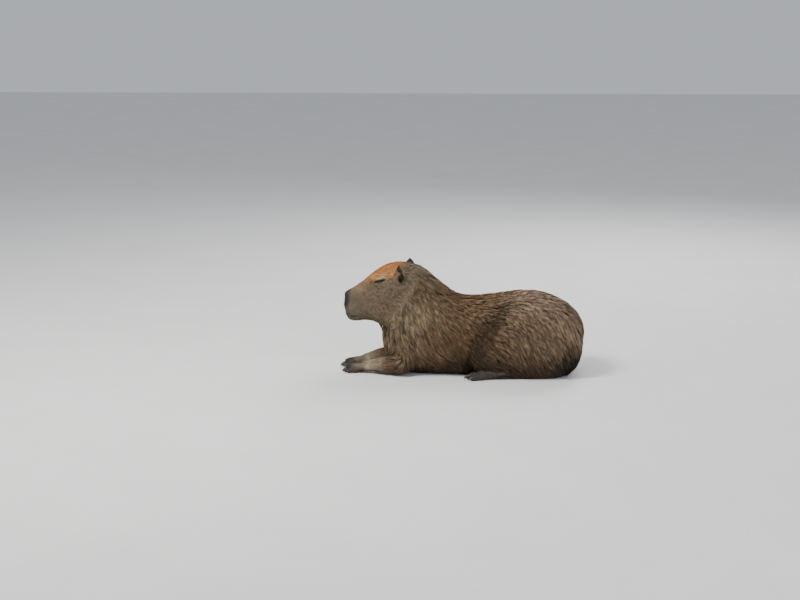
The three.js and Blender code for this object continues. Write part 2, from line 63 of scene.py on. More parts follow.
NOSE_X = -REST_LENGTH / 2
PIVOT_X = NOSE_X + HEAD_LENGTH * math.cos(HEAD_TURN)
FORWARD = np.array([-math.cos(HEAD_TURN), math.sin(HEAD_TURN), 0.0])
SIDEWAYS = np.array([-math.sin(HEAD_TURN), -math.cos(HEAD_TURN), 0.0])
UP = np.array([0.0, 0.0, 1.0])
# Each side of the animal, with the sign of Y there
SIDES = (("left", -1), ("right", 1))
rng = np.random.default_rng(SEED)


# Shapes as signed distances
def profile(points):
    """A smooth curve through points, with no overshoot."""
    xs = np.array([p[0] for p in points], float)
    ys = np.array([p[1] for p in points], float)
    slope = np.diff(ys) / np.diff(xs)
    tangent = np.zeros(len(xs))
    tangent[0], tangent[-1] = slope[0], slope[-1]
    for i in range(1, len(xs) - 1):
        a, b = slope[i - 1], slope[i]
        tangent[i] = 0.0 if a * b <= 0 else 2 * a * b / (a + b)

    def at(x):
        x = np.clip(x, xs[0], xs[-1])
        i = np.clip(np.searchsorted(xs, x, side="right") - 1, 0, len(xs) - 2)
        w = xs[i + 1] - xs[i]
        t = (x - xs[i]) / w
        t2, t3 = t * t, t * t * t
        return (
            (2 * t3 - 3 * t2 + 1) * ys[i]
            + (t3 - 2 * t2 + t) * w * tangent[i]
            + (3 * t2 - 2 * t3) * ys[i + 1]
            + (t3 - t2) * w * tangent[i + 1]
        )

    return at


def join(a, b, k):
    """Both shapes, blended over about k."""
    h = np.maximum(k - np.abs(a - b), 0) / k
    return np.minimum(a, b) - h * h * (k / 4)


def carve(a, b, k):
    """The first shape without the second, rounded over about k."""
    h = np.maximum(k - np.abs(a + b), 0) / k
    return np.maximum(a, -b) + h * h * (k / 4)


def ease(x, low, high):
    t = np.clip((x - low) / (high - low), 0, 1)
    return t * t * (3 - 2 * t)


def unit(v):
    return v / np.linalg.norm(v)


def ellipsoid(centre, radii, pitch=0.0):
    """An ellipsoid whose front end is raised by pitch degrees."""
    c, s = math.cos(math.radians(pitch)), math.sin(math.radians(pitch))

    def at(x, y, z):
        dx, dz = x - centre[0], z - centre[2]
        qx = (dx * c - dz * s) / radii[0]
        qy = (y - centre[1]) / radii[1]
        qz = (dx * s + dz * c) / radii[2]
        near = np.sqrt(qx * qx + qy * qy + qz * qz)
        steep = np.sqrt((qx / radii[0]) ** 2 + (qy / radii[1]) ** 2 + (qz / radii[2]) ** 2)
        return near * (near - 1) / np.maximum(steep, 1e-6)

    return at


def cone(x, y, z, a, d, ra, rb):
    """A round cone from a, radius ra, to a + d, radius rb."""
    px, py, pz = x - a[0], y - a[1], z - a[2]
    t = np.clip((px * d[0] + py * d[1] + pz * d[2]) / float(d @ d), 0, 1)
    far = np.sqrt((px - d[0] * t) ** 2 + (py - d[1] * t) ** 2 + (pz - d[2] * t) ** 2)
    return far - (ra + (rb - ra) * t)


def rope(points, radii, tall=1.0, flat=1.0):
    """A tube through points, squashed in height by tall and sideways by flat, and its box."""
    pts = [np.array([p[0], p[1] / flat, p[2] / tall]) for p in points]
    spans = list(zip(pts, pts[1:], radii, radii[1:]))

    def at(x, y, z):
        cones = (cone(x, y / flat, z / tall, a, b - a, ra, rb) for a, b, ra, rb in spans)
        return functools.reduce(np.minimum, cones) * min(1.0, tall, flat)

    low = np.min(points, axis=0) - max(radii) * max(1, tall)
    high = np.max(points, axis=0) + max(radii) * max(1, tall)
    return at, low, high


# The masses of the trunk, and how softly each joins those before it
rump = ellipsoid([252, 0, 158], [222, RUMP_HALF_WIDTH, RUMP_HEIGHT - 162], 3)
seat = ellipsoid([350, 0, 166], [124, 128, 118])
belly = ellipsoid([60, 0, 138], [250, BELLY_HALF_WIDTH, BACK_HEIGHT - 138])
chest = ellipsoid([-160, 0, 134], [182, CHEST_HALF_WIDTH, 166])
neck_mass = rope([(-110, 0, 178), (-262, 0, 318)], [142, 112], flat=0.86)[0]
nape = rope([(-84, 0, 242), (-198, 0, 330)], [84, 93], flat=0.92)[0]
haunches = [ellipsoid([244, s * (HAUNCH_REACH - 92), 140], [228, 92, 174], 6) for _, s in SIDES]
knees = [ellipsoid([86, s * 128, 96], [86, 52, 88], 20) for _, s in SIDES]
shoulders = [ellipsoid([-214, s * 82, 142], [104, 60, 122], -18) for _, s in SIDES]
masses = [(belly, 64), (chest, 64), (neck_mass, 64), (nape, 20), (seat, 30)]
masses += [(mass, 34) for mass in shoulders]
masses += [(mass, 22) for mass in knees]
masses += [(mass, 36) for mass in haunches]


def trunk(x, y, z):
    d = rump(x, y, z)
    for mass, softness in masses:
        d = join(d, mass(x, y, z), softness)
    return d


# The head's top, bottom and half width at distances behind the nose
HEAD_TOP = profile([
    (0, 296), (5, 311), (13, 319), (25, 327), (42, 338), (67, 356), (104, 384),
    (141, 405), (183, 422), (220, 427), (253, 425), (300, 410),
])
HEAD_BOTTOM = profile([
    (0, 284), (5, 258), (13, 232), (25, 211), (42, 200), (67, 197), (104, 198),
    (141, 197), (183, 195), (220, 196), (253, 204), (300, 220),
])
HEAD_HALF_WIDTH = profile([
    (0, 20), (5, 35), (13, 43), (25, 47), (42, 50), (67, 52), (104, 57),
    (141, 63), (183, 71), (220, 76), (253, 77), (300, 72),
])
HEAD_END = 300.0
# How square a section of the head is, where 2 is an ellipse
HEAD_POWER = 2.7


def head_frame(x, y):
    """Distance behind the nose, and left of the head's middle."""
    dx = x - PIVOT_X
    behind = HEAD_LENGTH - (dx * FORWARD[0] + y * FORWARD[1])
    left = dx * SIDEWAYS[0] + y * SIDEWAYS[1]
    return behind, left


def head_point(behind, left, height):
    p = np.array([PIVOT_X, 0.0, 0.0]) + FORWARD * (HEAD_LENGTH - behind) + SIDEWAYS * left
    p[2] = height
    return p


# Brow, nose, lip and jaw, given for the left and used on both sides
head_bumps = [
    (ellipsoid([146, 52, 384], [30, 15, 17]), 14),
    (ellipsoid([17, 22, 298], [14, 17, 16]), 10),
    (ellipsoid([42, 27, 232], [36, 25, 32]), 22),
    (ellipsoid([176, 50, 262], [56, 30, 52]), 34),
]


def head_mass(x, y, z):
    behind, left = head_frame(x, y)
    s = np.clip(behind, 0, HEAD_END)
    top, bottom = HEAD_TOP(s), HEAD_BOTTOM(s)
    middle, tall = (top + bottom) / 2, (top - bottom) / 2
    rise = (z - middle) / tall
    wide = HEAD_HALF_WIDTH(s) * (1 - 0.1 * np.clip(rise, -1, 1))
    ring = (np.abs(left / wide) ** HEAD_POWER + np.abs(rise) ** HEAD_POWER) ** (1 / HEAD_POWER)
    d = (ring - 1) * np.minimum(wide, tall)
    past = np.maximum(np.maximum(-behind, behind - HEAD_END), 0)
    d = np.where(past > 0, np.hypot(np.maximum(d, 0), past), d)
    for mass, k in head_bumps:
        d = join(d, mass(behind, np.abs(left), z), k)
    return d


def body(x, y, z):
    return join(trunk(x, y, z), head_mass(x, y, z), 46)


# The fold where the flank slips under the front of the haunch: its x at heights
FOLD = profile([(20, 26), (60, 22), (120, 34), (180, 62), (240, 104), (290, 148), (330, 190)])


def fold_groove(x, y, z):
    """How much lower the coat lies in that fold and behind the elbow."""
    over = ease(np.abs(y), 50, 105)
    haunch = 12 * np.exp(-(((x - FOLD(z) + 6) / 17) ** 2)) * ease(-z, -335, -270)
    elbow = 8 * np.exp(-(((x + 168 - 0.25 * z) / 20) ** 2)) * ease(-z, -150, -80)
    return over * (haunch + elbow)


# A point of the line where the head leaves the neck, and the way ahead of it
HEAD_CUT = np.array([-336.0, 0.0, 205.0])
AHEAD = unit(np.array([-0.861, 0.0, 0.509]))


def ahead_of_neck(x, z):
    return (x - HEAD_CUT[0]) * AHEAD[0] + (z - HEAD_CUT[2]) * AHEAD[2]


def head_share(x, z, low=-75, high=-5):
    """0 on the body and neck, 1 on the head, with the throat under the chin left to the neck."""
    return ease(ahead_of_neck(x, z), low, high) * ease(z, 178, 204)


def coat_depth(x, z):
    """How far the skin lies under the coat's tips."""
    return COAT_DEPTH + (FACE_DEPTH - COAT_DEPTH) * head_share(x, z, -110, 0)


# Limbs
def foreleg(side):
    """Elbow, middle, wrist and paw, and the way the paw points."""
    lag = 14.0 if side < 0 else 0.0
    elbow = np.array([-268 + lag, side * 112, 44.0])
    wrist = np.array([-404 + lag, side * 62, 27.0])
    middle = elbow + (wrist - elbow) * 0.55
    middle[2] = 37
    paw = np.array([-466 + lag, side * 52, 19.0])
    return elbow, middle, wrist, paw, unit(np.array([-1.0, side * -0.1, 0.0]))


def ball_of_foot(side):
    return np.array([70.0, side * 152, 18.0])


def turned(v, angle):
    c, s = math.cos(angle), math.sin(angle)
    return np.array([v[0] * c - v[1] * s, v[0] * s + v[1] * c, v[2]])


def toes(at, heading, count, width, fan, bias, step, length, radius):
    """Toes fanned out, each as base, way, length and radius."""
    made = []
    for n in range(count):
        spread = n / (count - 1) - 0.5
        way = turned(heading, -fan * spread * 2)
        across = np.array([-heading[1], heading[0], 0.0])
        short = abs(spread * 2 + bias) ** 2 * step
        base = at - across * spread * width * 0.66
        base[2] = radius * 1.05
        made.append((base, way, length - short, radius))
    return made


def forefoot_toes(side):
    _, _, _, paw, heading = foreleg(side)
    return toes(
        paw - heading * 8, heading, count=4, width=58, fan=0.34,
        bias=0.12 * side, step=13, length=42, radius=10.5,
    )


def hindfoot_toes(side):
    heading = unit(np.array([-1.0, side * 0.06, 0.0]))
    return toes(
        ball_of_foot(side), heading, count=3, width=56, fan=0.26,
        bias=0, step=12, length=58, radius=13,
    )


def toe_rope(toe, scale):
    """A toe from its base, over the knuckle, to its tip."""
    base, way, length, radius = toe
    tip = base + way * length
    tip[2] = radius * 0.72
    knuckle = base + way * length * 0.45
    knuckle[2] = radius * 1.12
    last = base + way * length * 0.78
    last[2] = radius * 0.86
    r = radius * scale
    return rope([base, knuckle, last, tip], [r * 0.98, r * 0.96, r * 0.84, r * 0.72])


def foreleg_parts(side):
    elbow, middle, wrist, paw, heading = foreleg(side)
    yield join, 26, rope([elbow, middle, wrist], [34, 29.5, 22], 0.94)
    palm = [wrist - [0, 0, 3], wrist + (paw - wrist) * 0.6 - [0, 0, 3], paw + heading * 8 - [0, 0, 2]]
    yield join, 12, rope(palm, [21, 25, 21], 0.74)
    across = np.array([-heading[1], heading[0], 0.0])
    knuckles = [paw + across * out + heading * 2 - [0, 0, 4] for out in (17, -17)]
    yield join, 8, rope(knuckles, [13, 13], 0.85)
    for toe in forefoot_toes(side):
        yield join, 4, toe_rope(toe, 0.95)


def hindfoot_parts(side):
    heel = np.array([232.0, side * 146, 26.0])
    middle = (heel + ball_of_foot(side)) / 2
    middle[2] = 22
    yield join, 14, rope([heel - [18, 0, 8], middle, ball_of_foot(side)], [10, 18, 25], 0.82)
    for toe in hindfoot_toes(side):
        yield join, 4, toe_rope(toe, 0.96)


# Details of the head
EYE_BEHIND, EYE_HEIGHT = 163.0, 375.0
EYE_LENGTH, EYE_RISE = 46.0, 13.5
EYE_POINTS = 9
EAR_BEHIND, EAR_OUT, EAR_BASE = 260.0, 67.0, 375.0
EAR_ROOT = 9.5
EAR_THICKNESS = 4.4
EAR_HALF = profile([(0, 0.5), (0.2, 0.78), (0.5, 1), (0.8, 0.86), (1, 0.4)])
MOUTH_POINTS = 17
MOUTH_RADIUS = 2.6


def last_inside(inside, start, out, low, high, steps):
    """How far out from start is still inside, by halving the span."""
    for _ in range(steps):
        middle = (low + high) / 2
        if inside(start + out * middle):
            low = middle
        else:
            high = middle
    return low


def cheek_point(side, behind, height, raised):
    """A point on the side of the head, raised a little above the skin."""
    start, out = head_point(behind, 0, height), SIDEWAYS * -side
    depth = last_inside(lambda p: body(*p) + FACE_DEPTH < 0, start, out, 20.0, 110.0, 30)
    return start + out * (depth + raised)


def eye_curve(side, share, bow, raised, lean=0.0):
    """Points across a share of the eye, bowed up, and fuller at one end where it leans."""
    points = []
    for n in range(EYE_POINTS):
        t = n / (EYE_POINTS - 1) - 0.5
        arch = (1 - 4 * t * t) * bow * (1 + lean * t)
        height = EYE_HEIGHT + t * EYE_RISE * share + arch
        points.append(cheek_point(side, EYE_BEHIND + t * EYE_LENGTH * share, height, raised))
    return points


def swell(ends, middle):
    """Radii for such a curve, from its ends to its middle."""
    return [ends + (middle - ends) * math.sin(math.pi * n / (EYE_POINTS - 1)) for n in range(EYE_POINTS)]


def eye_centre(side):
    return cheek_point(side, EYE_BEHIND, EYE_HEIGHT + 1.5, -EYE_RADIUS + 0.6)


def ball(centre, radius):
    def at(x, y, z):
        return np.sqrt((x - centre[0]) ** 2 + (y - centre[1]) ** 2 + (z - centre[2]) ** 2) - radius

    return at, centre - radius, centre + radius


def eye_parts(side):
    """Lids, the folds above and below, the slit, the socket and the tear groove."""
    yield join, 5, rope(eye_curve(side, 0.84, 7.8, 0.4, lean=-0.5), swell(2.4, 5.6))
    yield join, 4, rope(eye_curve(side, 0.9, -5.6, -0.6), swell(1.4, 3.4))
    yield carve, 3, rope(eye_curve(side, 0.9, 14.5, 1.0), swell(0.6, 1.6))
    yield carve, 3, rope(eye_curve(side, 0.8, -10.5, 1.0), swell(0.4, 1.3))
    yield carve, 1.2, rope(eye_curve(side, 1.06, 0.8, 0.2), swell(1.6, 4.3))
    yield carve, 0.8, ball(eye_centre(side), EYE_RADIUS - 0.4)
    tear = [
        cheek_point(side, EYE_BEHIND - 19, EYE_HEIGHT - 6, 0.4),
        cheek_point(side, EYE_BEHIND - 27, EYE_HEIGHT - 12, 0.8),
    ]
    yield carve, 4, rope(tear, [2.2, 1.0])


def head_rope(points, radii, left=1):
    """A tube through places behind the nose, out from the head's middle and up."""
    return rope([head_point(behind, left * out, height) for behind, out, height in points], radii)


def nose_parts(side):
    """The wing of the nose, the nostril and the pad that carries the whiskers."""
    yield join, 6, head_rope([(6, 12, 309), (9, 26, 305), (14, 34, 294)], [5, 5.5, 4], -side)
    yield carve, 3, head_rope([(-1, 17, 303), (3, 24, 297), (9, 30, 288)], [3.0, 5.4, 3.0], -side)
    yield join, 14, head_rope([(20, 24, 262), (46, 40, 250)], [20, 17], -side)


def ear_axes(side):
    """The ear's root, and the ways up it, out of its front and across it."""
    root = head_point(EAR_BEHIND, -side * EAR_OUT, EAR_BASE)
    outward = SIDEWAYS * -side
    up = unit(UP * 0.93 + outward * 0.3 + FORWARD * 0.16)
    front = FORWARD * 0.72 + outward * 0.66
    front = unit(front - up * (front @ up))
    return root, up, front, np.cross(up, front)


def ear_cup(across, rise):
    """How far forward the ear's sheet stands at a place on it."""
    bowl = 11 * (across / (EAR_WIDTH / 2)) ** 2 + 7 * (rise - 0.45) ** 2
    return bowl - 8 * np.exp(-(((rise - 0.4) / 0.3) ** 2))


def ear_field(side):
    """A cupped sheet, widest half way up."""
    root, up, front, across = ear_axes(side)

    def at(x, y, z):
        dx, dy, dz = x - root[0], y - root[1], z - root[2]
        a = dx * across[0] + dy * across[1] + dz * across[2]
        f = dx * front[0] + dy * front[1] + dz * front[2]
        r = (dx * up[0] + dy * up[1] + dz * up[2] + EAR_ROOT) / EAR_HEIGHT
        polar = np.sqrt(np.clip(1 - (2 * r - 1) ** 2, 0, 1))
        half = EAR_HALF(np.clip(r, 0, 1)) * polar * (EAR_WIDTH / 2)
        sheet = np.abs(f - ear_cup(a, r)) * 0.86 - EAR_THICKNESS / 2
        beyond = np.maximum(-r, r - 1) * EAR_HEIGHT
        outline = np.maximum(np.abs(a) - half, beyond) * 0.9
        return carve(sheet, -outline, 4.0)

    low = root - np.array([48.0, 48.0, 12.0]) - np.array([0, 0, EAR_ROOT])
    high = root + np.array([48.0, 48.0, EAR_HEIGHT])
    return at, low, high


def ear_parts(side):
    """The ear and the hollow at its foot."""
    yield join, 9, ear_field(side)
    root, up, front, _ = ear_axes(side)
    hollow = [root - up * 4 + front * 13, root + up * 8 + front * 9, root + up * 22 + front * 3]
    yield carve, 8, rope(hollow, [6, 9, 10])


def mouth_line():
    """Points from one corner of the mouth to the other."""
    line = []
    for n in range(MOUTH_POINTS):
        a = 2 * n / (MOUTH_POINTS - 1) - 1
        back = abs(a) ** 1.6
        width = math.copysign(min(1, abs(a) * 1.9) * (44 + back * 10), a)
        height = 232 - math.sin(min(1, abs(a) * 1.5) * math.pi / 2) * 12 + back * 2
        line.append(head_point(11 + back * 66, width, height))
    return line


mouth_shape = rope(mouth_line(), [MOUTH_RADIUS] * MOUTH_POINTS)
MOUTH = mouth_shape[0]


def lip_parts():
    """The mouth, the cleft of the lip and the chin."""
    yield carve, 5, mouth_shape
    yield carve, 4, head_rope([(-2, 0, 290), (0, 0, 262), (9, 0, 234)], [1.8, 2.8, 3.2])
    yield join, 12, head_rope([(30, -12, 214), (30, 12, 214)], [15, 15])


def features():
    """All that shapes the skin beside the masses: how, softness, field and box."""
    parts = []
    for _, side in SIDES:
        for make in (foreleg_parts, hindfoot_parts, eye_parts, nose_parts, ear_parts):
            parts += make(side)
    parts += lip_parts()
    return [(how, k, at, low - k - 6, high + k + 6) for how, k, (at, low, high) in parts]


FEATURES = features()


def skin_base(x, y, z):
    return body(x, y, z) + coat_depth(x, z) + fold_groove(x, y, z)


def skin(x, y, z):
    d = skin_base(x, y, z)
    for how, k, at, low, high in FEATURES:
        near = (x > low[0]) & (x < high[0]) & (y > low[1]) & (y < high[1]) & (z > low[2]) & (z < high[2])
        n = np.nonzero(near)
        if len(n[0]):
            d[n] = how(d[n], at(x[n], y[n], z[n]), k)
    return np.maximum(d, -z)


def limb_coats():
    """Where hair ends on forelegs and hindfeet, and how softly each joins in."""
    made = []
    for _, side in SIDES:
        elbow, middle, wrist, paw, _ = foreleg(side)
        made.append((rope([elbow, middle, wrist, paw], [42, 35, 25, 24], 0.94)[0], 26))
    for _, side in SIDES:
        sole = [(214, side * 146, 20), (151, side * 149, 22), ball_of_foot(side)]
        made.append((rope(sole, [17, 24, 28], 0.82)[0], 10))
    return made


LIMB_COATS = limb_coats()


def outer(x, y, z):
    """Where the tips of the coat end: the main masses and the limbs at full size."""
    d = body(x, y, z) + fold_groove(x, y, z)
    for shape, softness in LIMB_COATS:
        d = join(d, shape(x, y, z), softness)
    return d


def slope(f, p, step=1.5):
    """The way out of a shape at points, and how steep its field is there."""
    x, y, z = p[:, 0], p[:, 1], p[:, 2]
    g = np.stack([
        f(x + step, y, z) - f(x - step, y, z),
        f(x, y + step, z) - f(x, y - step, z),
        f(x, y, z + step) - f(x, y, z - step),
    ], axis=1) / (2 * step)
    size = np.linalg.norm(g, axis=1, keepdims=True)
    return g / np.maximum(size, 1e-6), size[:, 0]


# The skin mesh, on a grid that is finer at the head and the feet
GRID_X = [(-512, 1.9), (-372, 1.3), (-312, 2.4), (-205, 5), (500, 0)]
GRID_Y = [(-212, 5), (-112, 2.2), (112, 5), (212, 0)]
GRID_Z = [(-5, 5), (0, 3), (60, 5), (180, 2.1), (358, 1.4), (396, 2.1), (466, 0)]
SLAB = 24


def axis(stops):
    """Grid lines from (start, spacing) pairs to a last stop."""
    lines = []
    for (a, step), (b, _) in zip(stops[:-1], stops[1:]):
        lines.append(np.linspace(a, b, max(2, round((b - a) / step)) + 1)[:-1])
    lines.append(np.array([stops[-1][0]]))
    return np.concatenate(lines).astype(np.float32)


def surface_net(xs, ys, zs, v):
    """Points and quads of the surface where the values on a grid change sign."""
    inside = v < 0
    corners = list(itertools.product((0, 1), repeat=3))
    count = np.zeros([n - 1 for n in v.shape], np.int8)
    for corner in corners:
        count += inside[tuple(slice(a, n - 1 + a) for a, n in zip(corner, v.shape))]
    cells = np.nonzero((count > 0) & (count < 8))
    index = np.full(count.shape, -1, np.int32)
    index[cells] = np.arange(len(cells[0]))
    values = {c: v[cells[0] + c[0], cells[1] + c[1], cells[2] + c[2]] for c in corners}
    grid = (xs, ys, zs)
    total = np.zeros((len(cells[0]), 3))
    hits = np.zeros(len(cells[0]))
    for a in corners:
        for ax in range(3):
            if a[ax]:
                continue
            b = tuple(1 if n == ax else a[n] for n in range(3))
            va, vb = values[a], values[b]
            cross = (va < 0) != (vb < 0)
            t = np.where(cross, va / np.where(cross, va - vb, 1), 0)
            hits += cross
            for n in range(3):
                start = grid[n][cells[n] + a[n]]
                end = grid[n][cells[n] + b[n]]
                total[:, n] += np.where(cross, start + (end - start) * t, 0)
    verts = total / hits[:, None]
    quads = []
    for ax in range(3):
        o1, o2 = [n for n in range(3) if n != ax]
        a = [slice(None)] * 3
        b = [slice(None)] * 3
        a[ax], b[ax] = slice(0, -1), slice(1, None)
        sa, sb = inside[tuple(a)], inside[tuple(b)]
        flip = sa != sb
        i = list(np.nonzero(flip))
        keep = (i[o1] > 0) & (i[o2] > 0) & (i[o1] < v.shape[o1] - 1) & (i[o2] < v.shape[o2] - 1)
        i = [n[keep] for n in i]
        into = sa[tuple(i)]

        def cell(d1, d2):
            c = [n.copy() for n in i]
            c[o1] -= d1
            c[o2] -= d2
            return index[tuple(c)]

        q = np.stack([cell(1, 1), cell(0, 1), cell(0, 0), cell(1, 0)], axis=1)
        forward = into if ax != 1 else ~into
        q[~forward] = q[~forward][:, ::-1]
        quads.append(q)
    return verts, np.concatenate(quads)


def skin_surface():
    """The skin's points, drawn onto its exact surface, and its quads."""
    xs, ys, zs = axis(GRID_X), axis(GRID_Y), axis(GRID_Z)
    v = np.empty((len(xs), len(ys), len(zs)), np.float32)
    for a in range(0, len(xs), SLAB):
        slab = xs[a:a + SLAB]
        x = np.broadcast_to(slab[:, None, None], (len(slab), len(ys), len(zs)))
        y = np.broadcast_to(ys[None, :, None], x.shape)
        z = np.broadcast_to(zs[None, None, :], x.shape)
        v[a:a + SLAB] = skin_base(x, y, z)
    for how, k, at, low, high in FEATURES:
        sx, sy, sz = (
            slice(int(np.searchsorted(g, low[n])), int(np.searchsorted(g, high[n])))
            for n, g in enumerate((xs, ys, zs))
        )
        part = v[sx, sy, sz]
        if part.size:
            x, y, z = xs[sx][:, None, None], ys[sy][None, :, None], zs[sz][None, None, :]
            v[sx, sy, sz] = how(part, at(x, y, z), k)
    v = np.maximum(v, -zs[None, None, :])
    verts, quads = surface_net(xs, ys, zs, v)
    for _ in range(2):
        normal, size = slope(skin, verts, 0.6)
        move = np.clip(-skin(*verts.T) / np.maximum(size, 0.4), -1.2, 1.2)
        verts = verts + normal * move[:, None]
    verts[:, 2] = np.maximum(verts[:, 2], 0.0)
    return verts, quads


# Markings, with painted light and shade among them, shared by skin and coat
def colour(r, g, b):
    c = np.array([r, g, b]) / 255
    return np.where(c <= 0.04045, c / 12.92, ((c + 0.055) / 1.055) ** 2.4)


BROWN = colour(124, 104, 82)
# Colours of skin and hair. Crown, crown edge, nape, lid and leg stand for painted light; low, seat, fold,
# elbow and inner for painted shade; rim is dark rims with painted shade in hollows
SHADES = {name: colour(*rgb) for name, rgb in dict(
    sunlit_crown=(170, 116, 64), sunlit_crown_edge=(180, 112, 54), muzzle=(86, 76, 62), bridge=(128, 102, 70),
    nose=(28, 25, 20), cheek=(98, 83, 64), jaw=(96, 82, 58), nape=(140, 122, 96), neck=(154, 138, 112),
    throat=(158, 142, 116), shoulder=(130, 106, 82), flank=(112, 88, 64), back=(126, 96, 66),
    hip=(166, 142, 120), thigh=(132, 112, 90), rear=(150, 128, 108), low=(76, 62, 49), seat=(34, 31, 24),
    fold_shade=(58, 46, 34), elbow=(92, 74, 56), leg=(172, 156, 134), foot=(62, 52, 43), toe=(40, 35, 30),
    ear=(84, 72, 58), inner=(40, 29, 20), lid=(182, 158, 140), dark_rim_and_shade=(20, 15, 12),
).items()}
# Broad patches: shade, strength, then x, |y|, z of the middle and how far it reaches along each
PATCHES = [
    ("neck", 1.2, (-215, 90, 250), (105, 90, 95)),
    # The nape patch is painted rim light, paler along the top of the neck
    ("nape", 1.0, (-190, 0, 400), (130, 90, 70)),
    ("shoulder", 1.1, (-110, 120, 170), (90, 90, 90)),
    ("flank", 1.1, (0, 150, 150), (120, 90, 110)),
    ("back", 1.1, (40, 0, 320), (190, 110, 60)),
    ("hip", 1.3, (250, 90, 320), (150, 110, 75)),
    ("thigh", 1.0, (240, 180, 190), (140, 80, 80)),
    ("rear", 1.1, (400, 110, 215), (95, 90, 80)),
]


def squares(*pairs):
    """A sum of squared shares, each of a distance in its reach."""
    return sum((away / reach) ** 2 for away, reach in pairs)


def blob(p, centre, reach):
    x, y, z = p.T
    return np.exp(-squares(
        (x - centre[0], reach[0]), (np.abs(y) - centre[1], reach[1]), (z - centre[2], reach[2]),
    ))


def paint(c, shade, amount):
    """Lay a shade over the colours c."""
    c += (SHADES[shade] - c) * np.clip(amount, 0, 1)[:, None]


def body_markings_and_painted_light(c, p):
    x, y, z = p.T
    for shade, amount, centre, reach in PATCHES:
        paint(c, shade, amount * blob(p, centre, reach))
    # Painted shade: chest and neck darker towards the floor
    paint(c, "low", 0.95 * ease(-z, -150, -50) * ease(x, -300, -160))
    # Painted shadow: the bottom of the rump dark where it meets the floor
    paint(c, "seat", ease(x, 320, 420) * ease(-z, -190, -95))
    # Painted shade at the elbow, under the chest
    paint(c, "elbow", 1.2 * blob(p, (-256, 112, 50), (52, 50, 46)))
    # Painted shade in the fold between flank and haunch
    fold_shade = 0.85 * np.exp(-(((x - FOLD(z) + 8) / 26) ** 2))
    paint(c, "fold_shade", fold_shade * ease(np.abs(y), 60, 110))
    paint(c, "throat", blob(p, (-330, 0, 170), (60, 80, 80)))


def head_markings_and_painted_light(c, p):
    x, y, z = p.T
    behind, left = head_frame(x, y)
    head = head_share(x, z, -90, 20)
    mottle = 5 * np.sin(0.11 * behind + 1.3) * np.sin(0.16 * left) + 3 * np.sin(0.37 * behind + 0.21 * left)
    paint(c, "cheek", head)
    paint(c, "jaw", head * ease(-z, -250, -215))
    paint(c, "bridge", head * ease(z + mottle, 296, 340) * ease(-behind, -130, -50))
    # Painted sunlight: the top of the head lighter and more orange, most of all higher up
    edge = 360 + (behind - 60) * 0.26 - np.abs(left) * 0.1
    sunlit_crown = ease(z - edge + mottle, -16, 20) * ease(behind, 30, 110)
    sunlit_crown = sunlit_crown * ease(-behind + mottle, -268, -205)
    paint(c, "sunlit_crown", head * sunlit_crown)
    paint(c, "sunlit_crown_edge", head * sunlit_crown * ease(z - edge, 10, 42) * 0.7)
    paint(c, "muzzle", head * ease(-behind, -100, -25) * ease(-z, -335, -300))
    front = ease(-behind, -34, -17) * ease(z, 240, 268)
    paint(c, "nose", head * front)
    # Painted shade in the nostrils
    paint(c, "dark_rim_and_shade", 0.9 * np.exp(-squares((behind - 4, 11), (np.abs(left) - 24, 11), (z - 297, 10))))
    paint(c, "nose", 0.6 * head * ease(-z, -244, -222) * ease(-behind, -46, -14))


def ear_markings_and_painted_shade(c, p, side):
    root, up, front, across = ear_axes(side)
    d = p - root
    wide, ahead, rise = d @ across, d @ front, d @ up + EAR_ROOT
    near = (np.abs(wide) < 34) & (np.abs(ahead) < 30) & (rise > 12)
    here = near & (ear_field(side)[0](*p.T) < 2.2)
    # Painted shade inside the ear's cup; the upper ear is darkened as well
    inner = ease(ahead - ear_cup(wide, rise / EAR_HEIGHT), -0.4, 1.2)
    inner = inner * ease(-np.abs(wide), -22, -17)
    paint(c, "ear", here * 0.95)
    paint(c, "inner", here * np.maximum(inner, ease(rise, 52, 70)))
    # Painted shade in the hollow at the ear's foot
    paint(c, "inner", np.exp(-squares((wide, 15), (ahead - 10, 13), (rise - 14, 16))))


def eye_place(p, side):
    """Distance along the slit and above it, and whether a point is on that side of the head."""
    behind, left = head_frame(p[:, 0], p[:, 1])
    along = behind - EYE_BEHIND
    above = p[:, 2] - EYE_HEIGHT - along * (EYE_RISE / EYE_LENGTH)
    return along, above, left * side < 0


def eye_markings_and_painted_light(c, p, side):
    along, above, on_side = eye_place(p, side)
    # Painted highlight: a pale band on the bulge of the upper lid
    paint(c, "lid", 0.9 * np.exp(-squares((along - 3, 14), (above - 13.5, 3.6))) * on_side)
    # A dark rim along the slit, with painted shade in the slit and its corners
    paint(c, "dark_rim_and_shade", 1.7 * np.exp(-((along / 25) ** 4 + ((above - 0.2) / 5.4) ** 2)) * on_side)


def leg_markings_and_painted_light(c, p):
    x, y, z = p.T
    leg = ease(-x, 290, 350) * ease(-z, -90, -55)
    # Painted sunlight on top of the forelegs
    paint(c, "leg", leg * ease(z, 14, 34))
    # Painted shade under the forelegs
    paint(c, "low", leg * ease(-z, -24, -10) * 0.8)
    paint(c, "foot", ease(-x, 385, 425) * ease(-z, -60, -48) * 0.75)
    paint(c, "toe", ease(-x, 440, 470) * ease(-z, -60, -48))
    hind = ease(-z, -52, -36) * ease(np.abs(y), 112, 128)
    hind = hind * ease(x, -20, -5) * ease(-x, -250, -190)
    paint(c, "foot", hind)
    paint(c, "toe", hind * ease(-x, -70, -40))


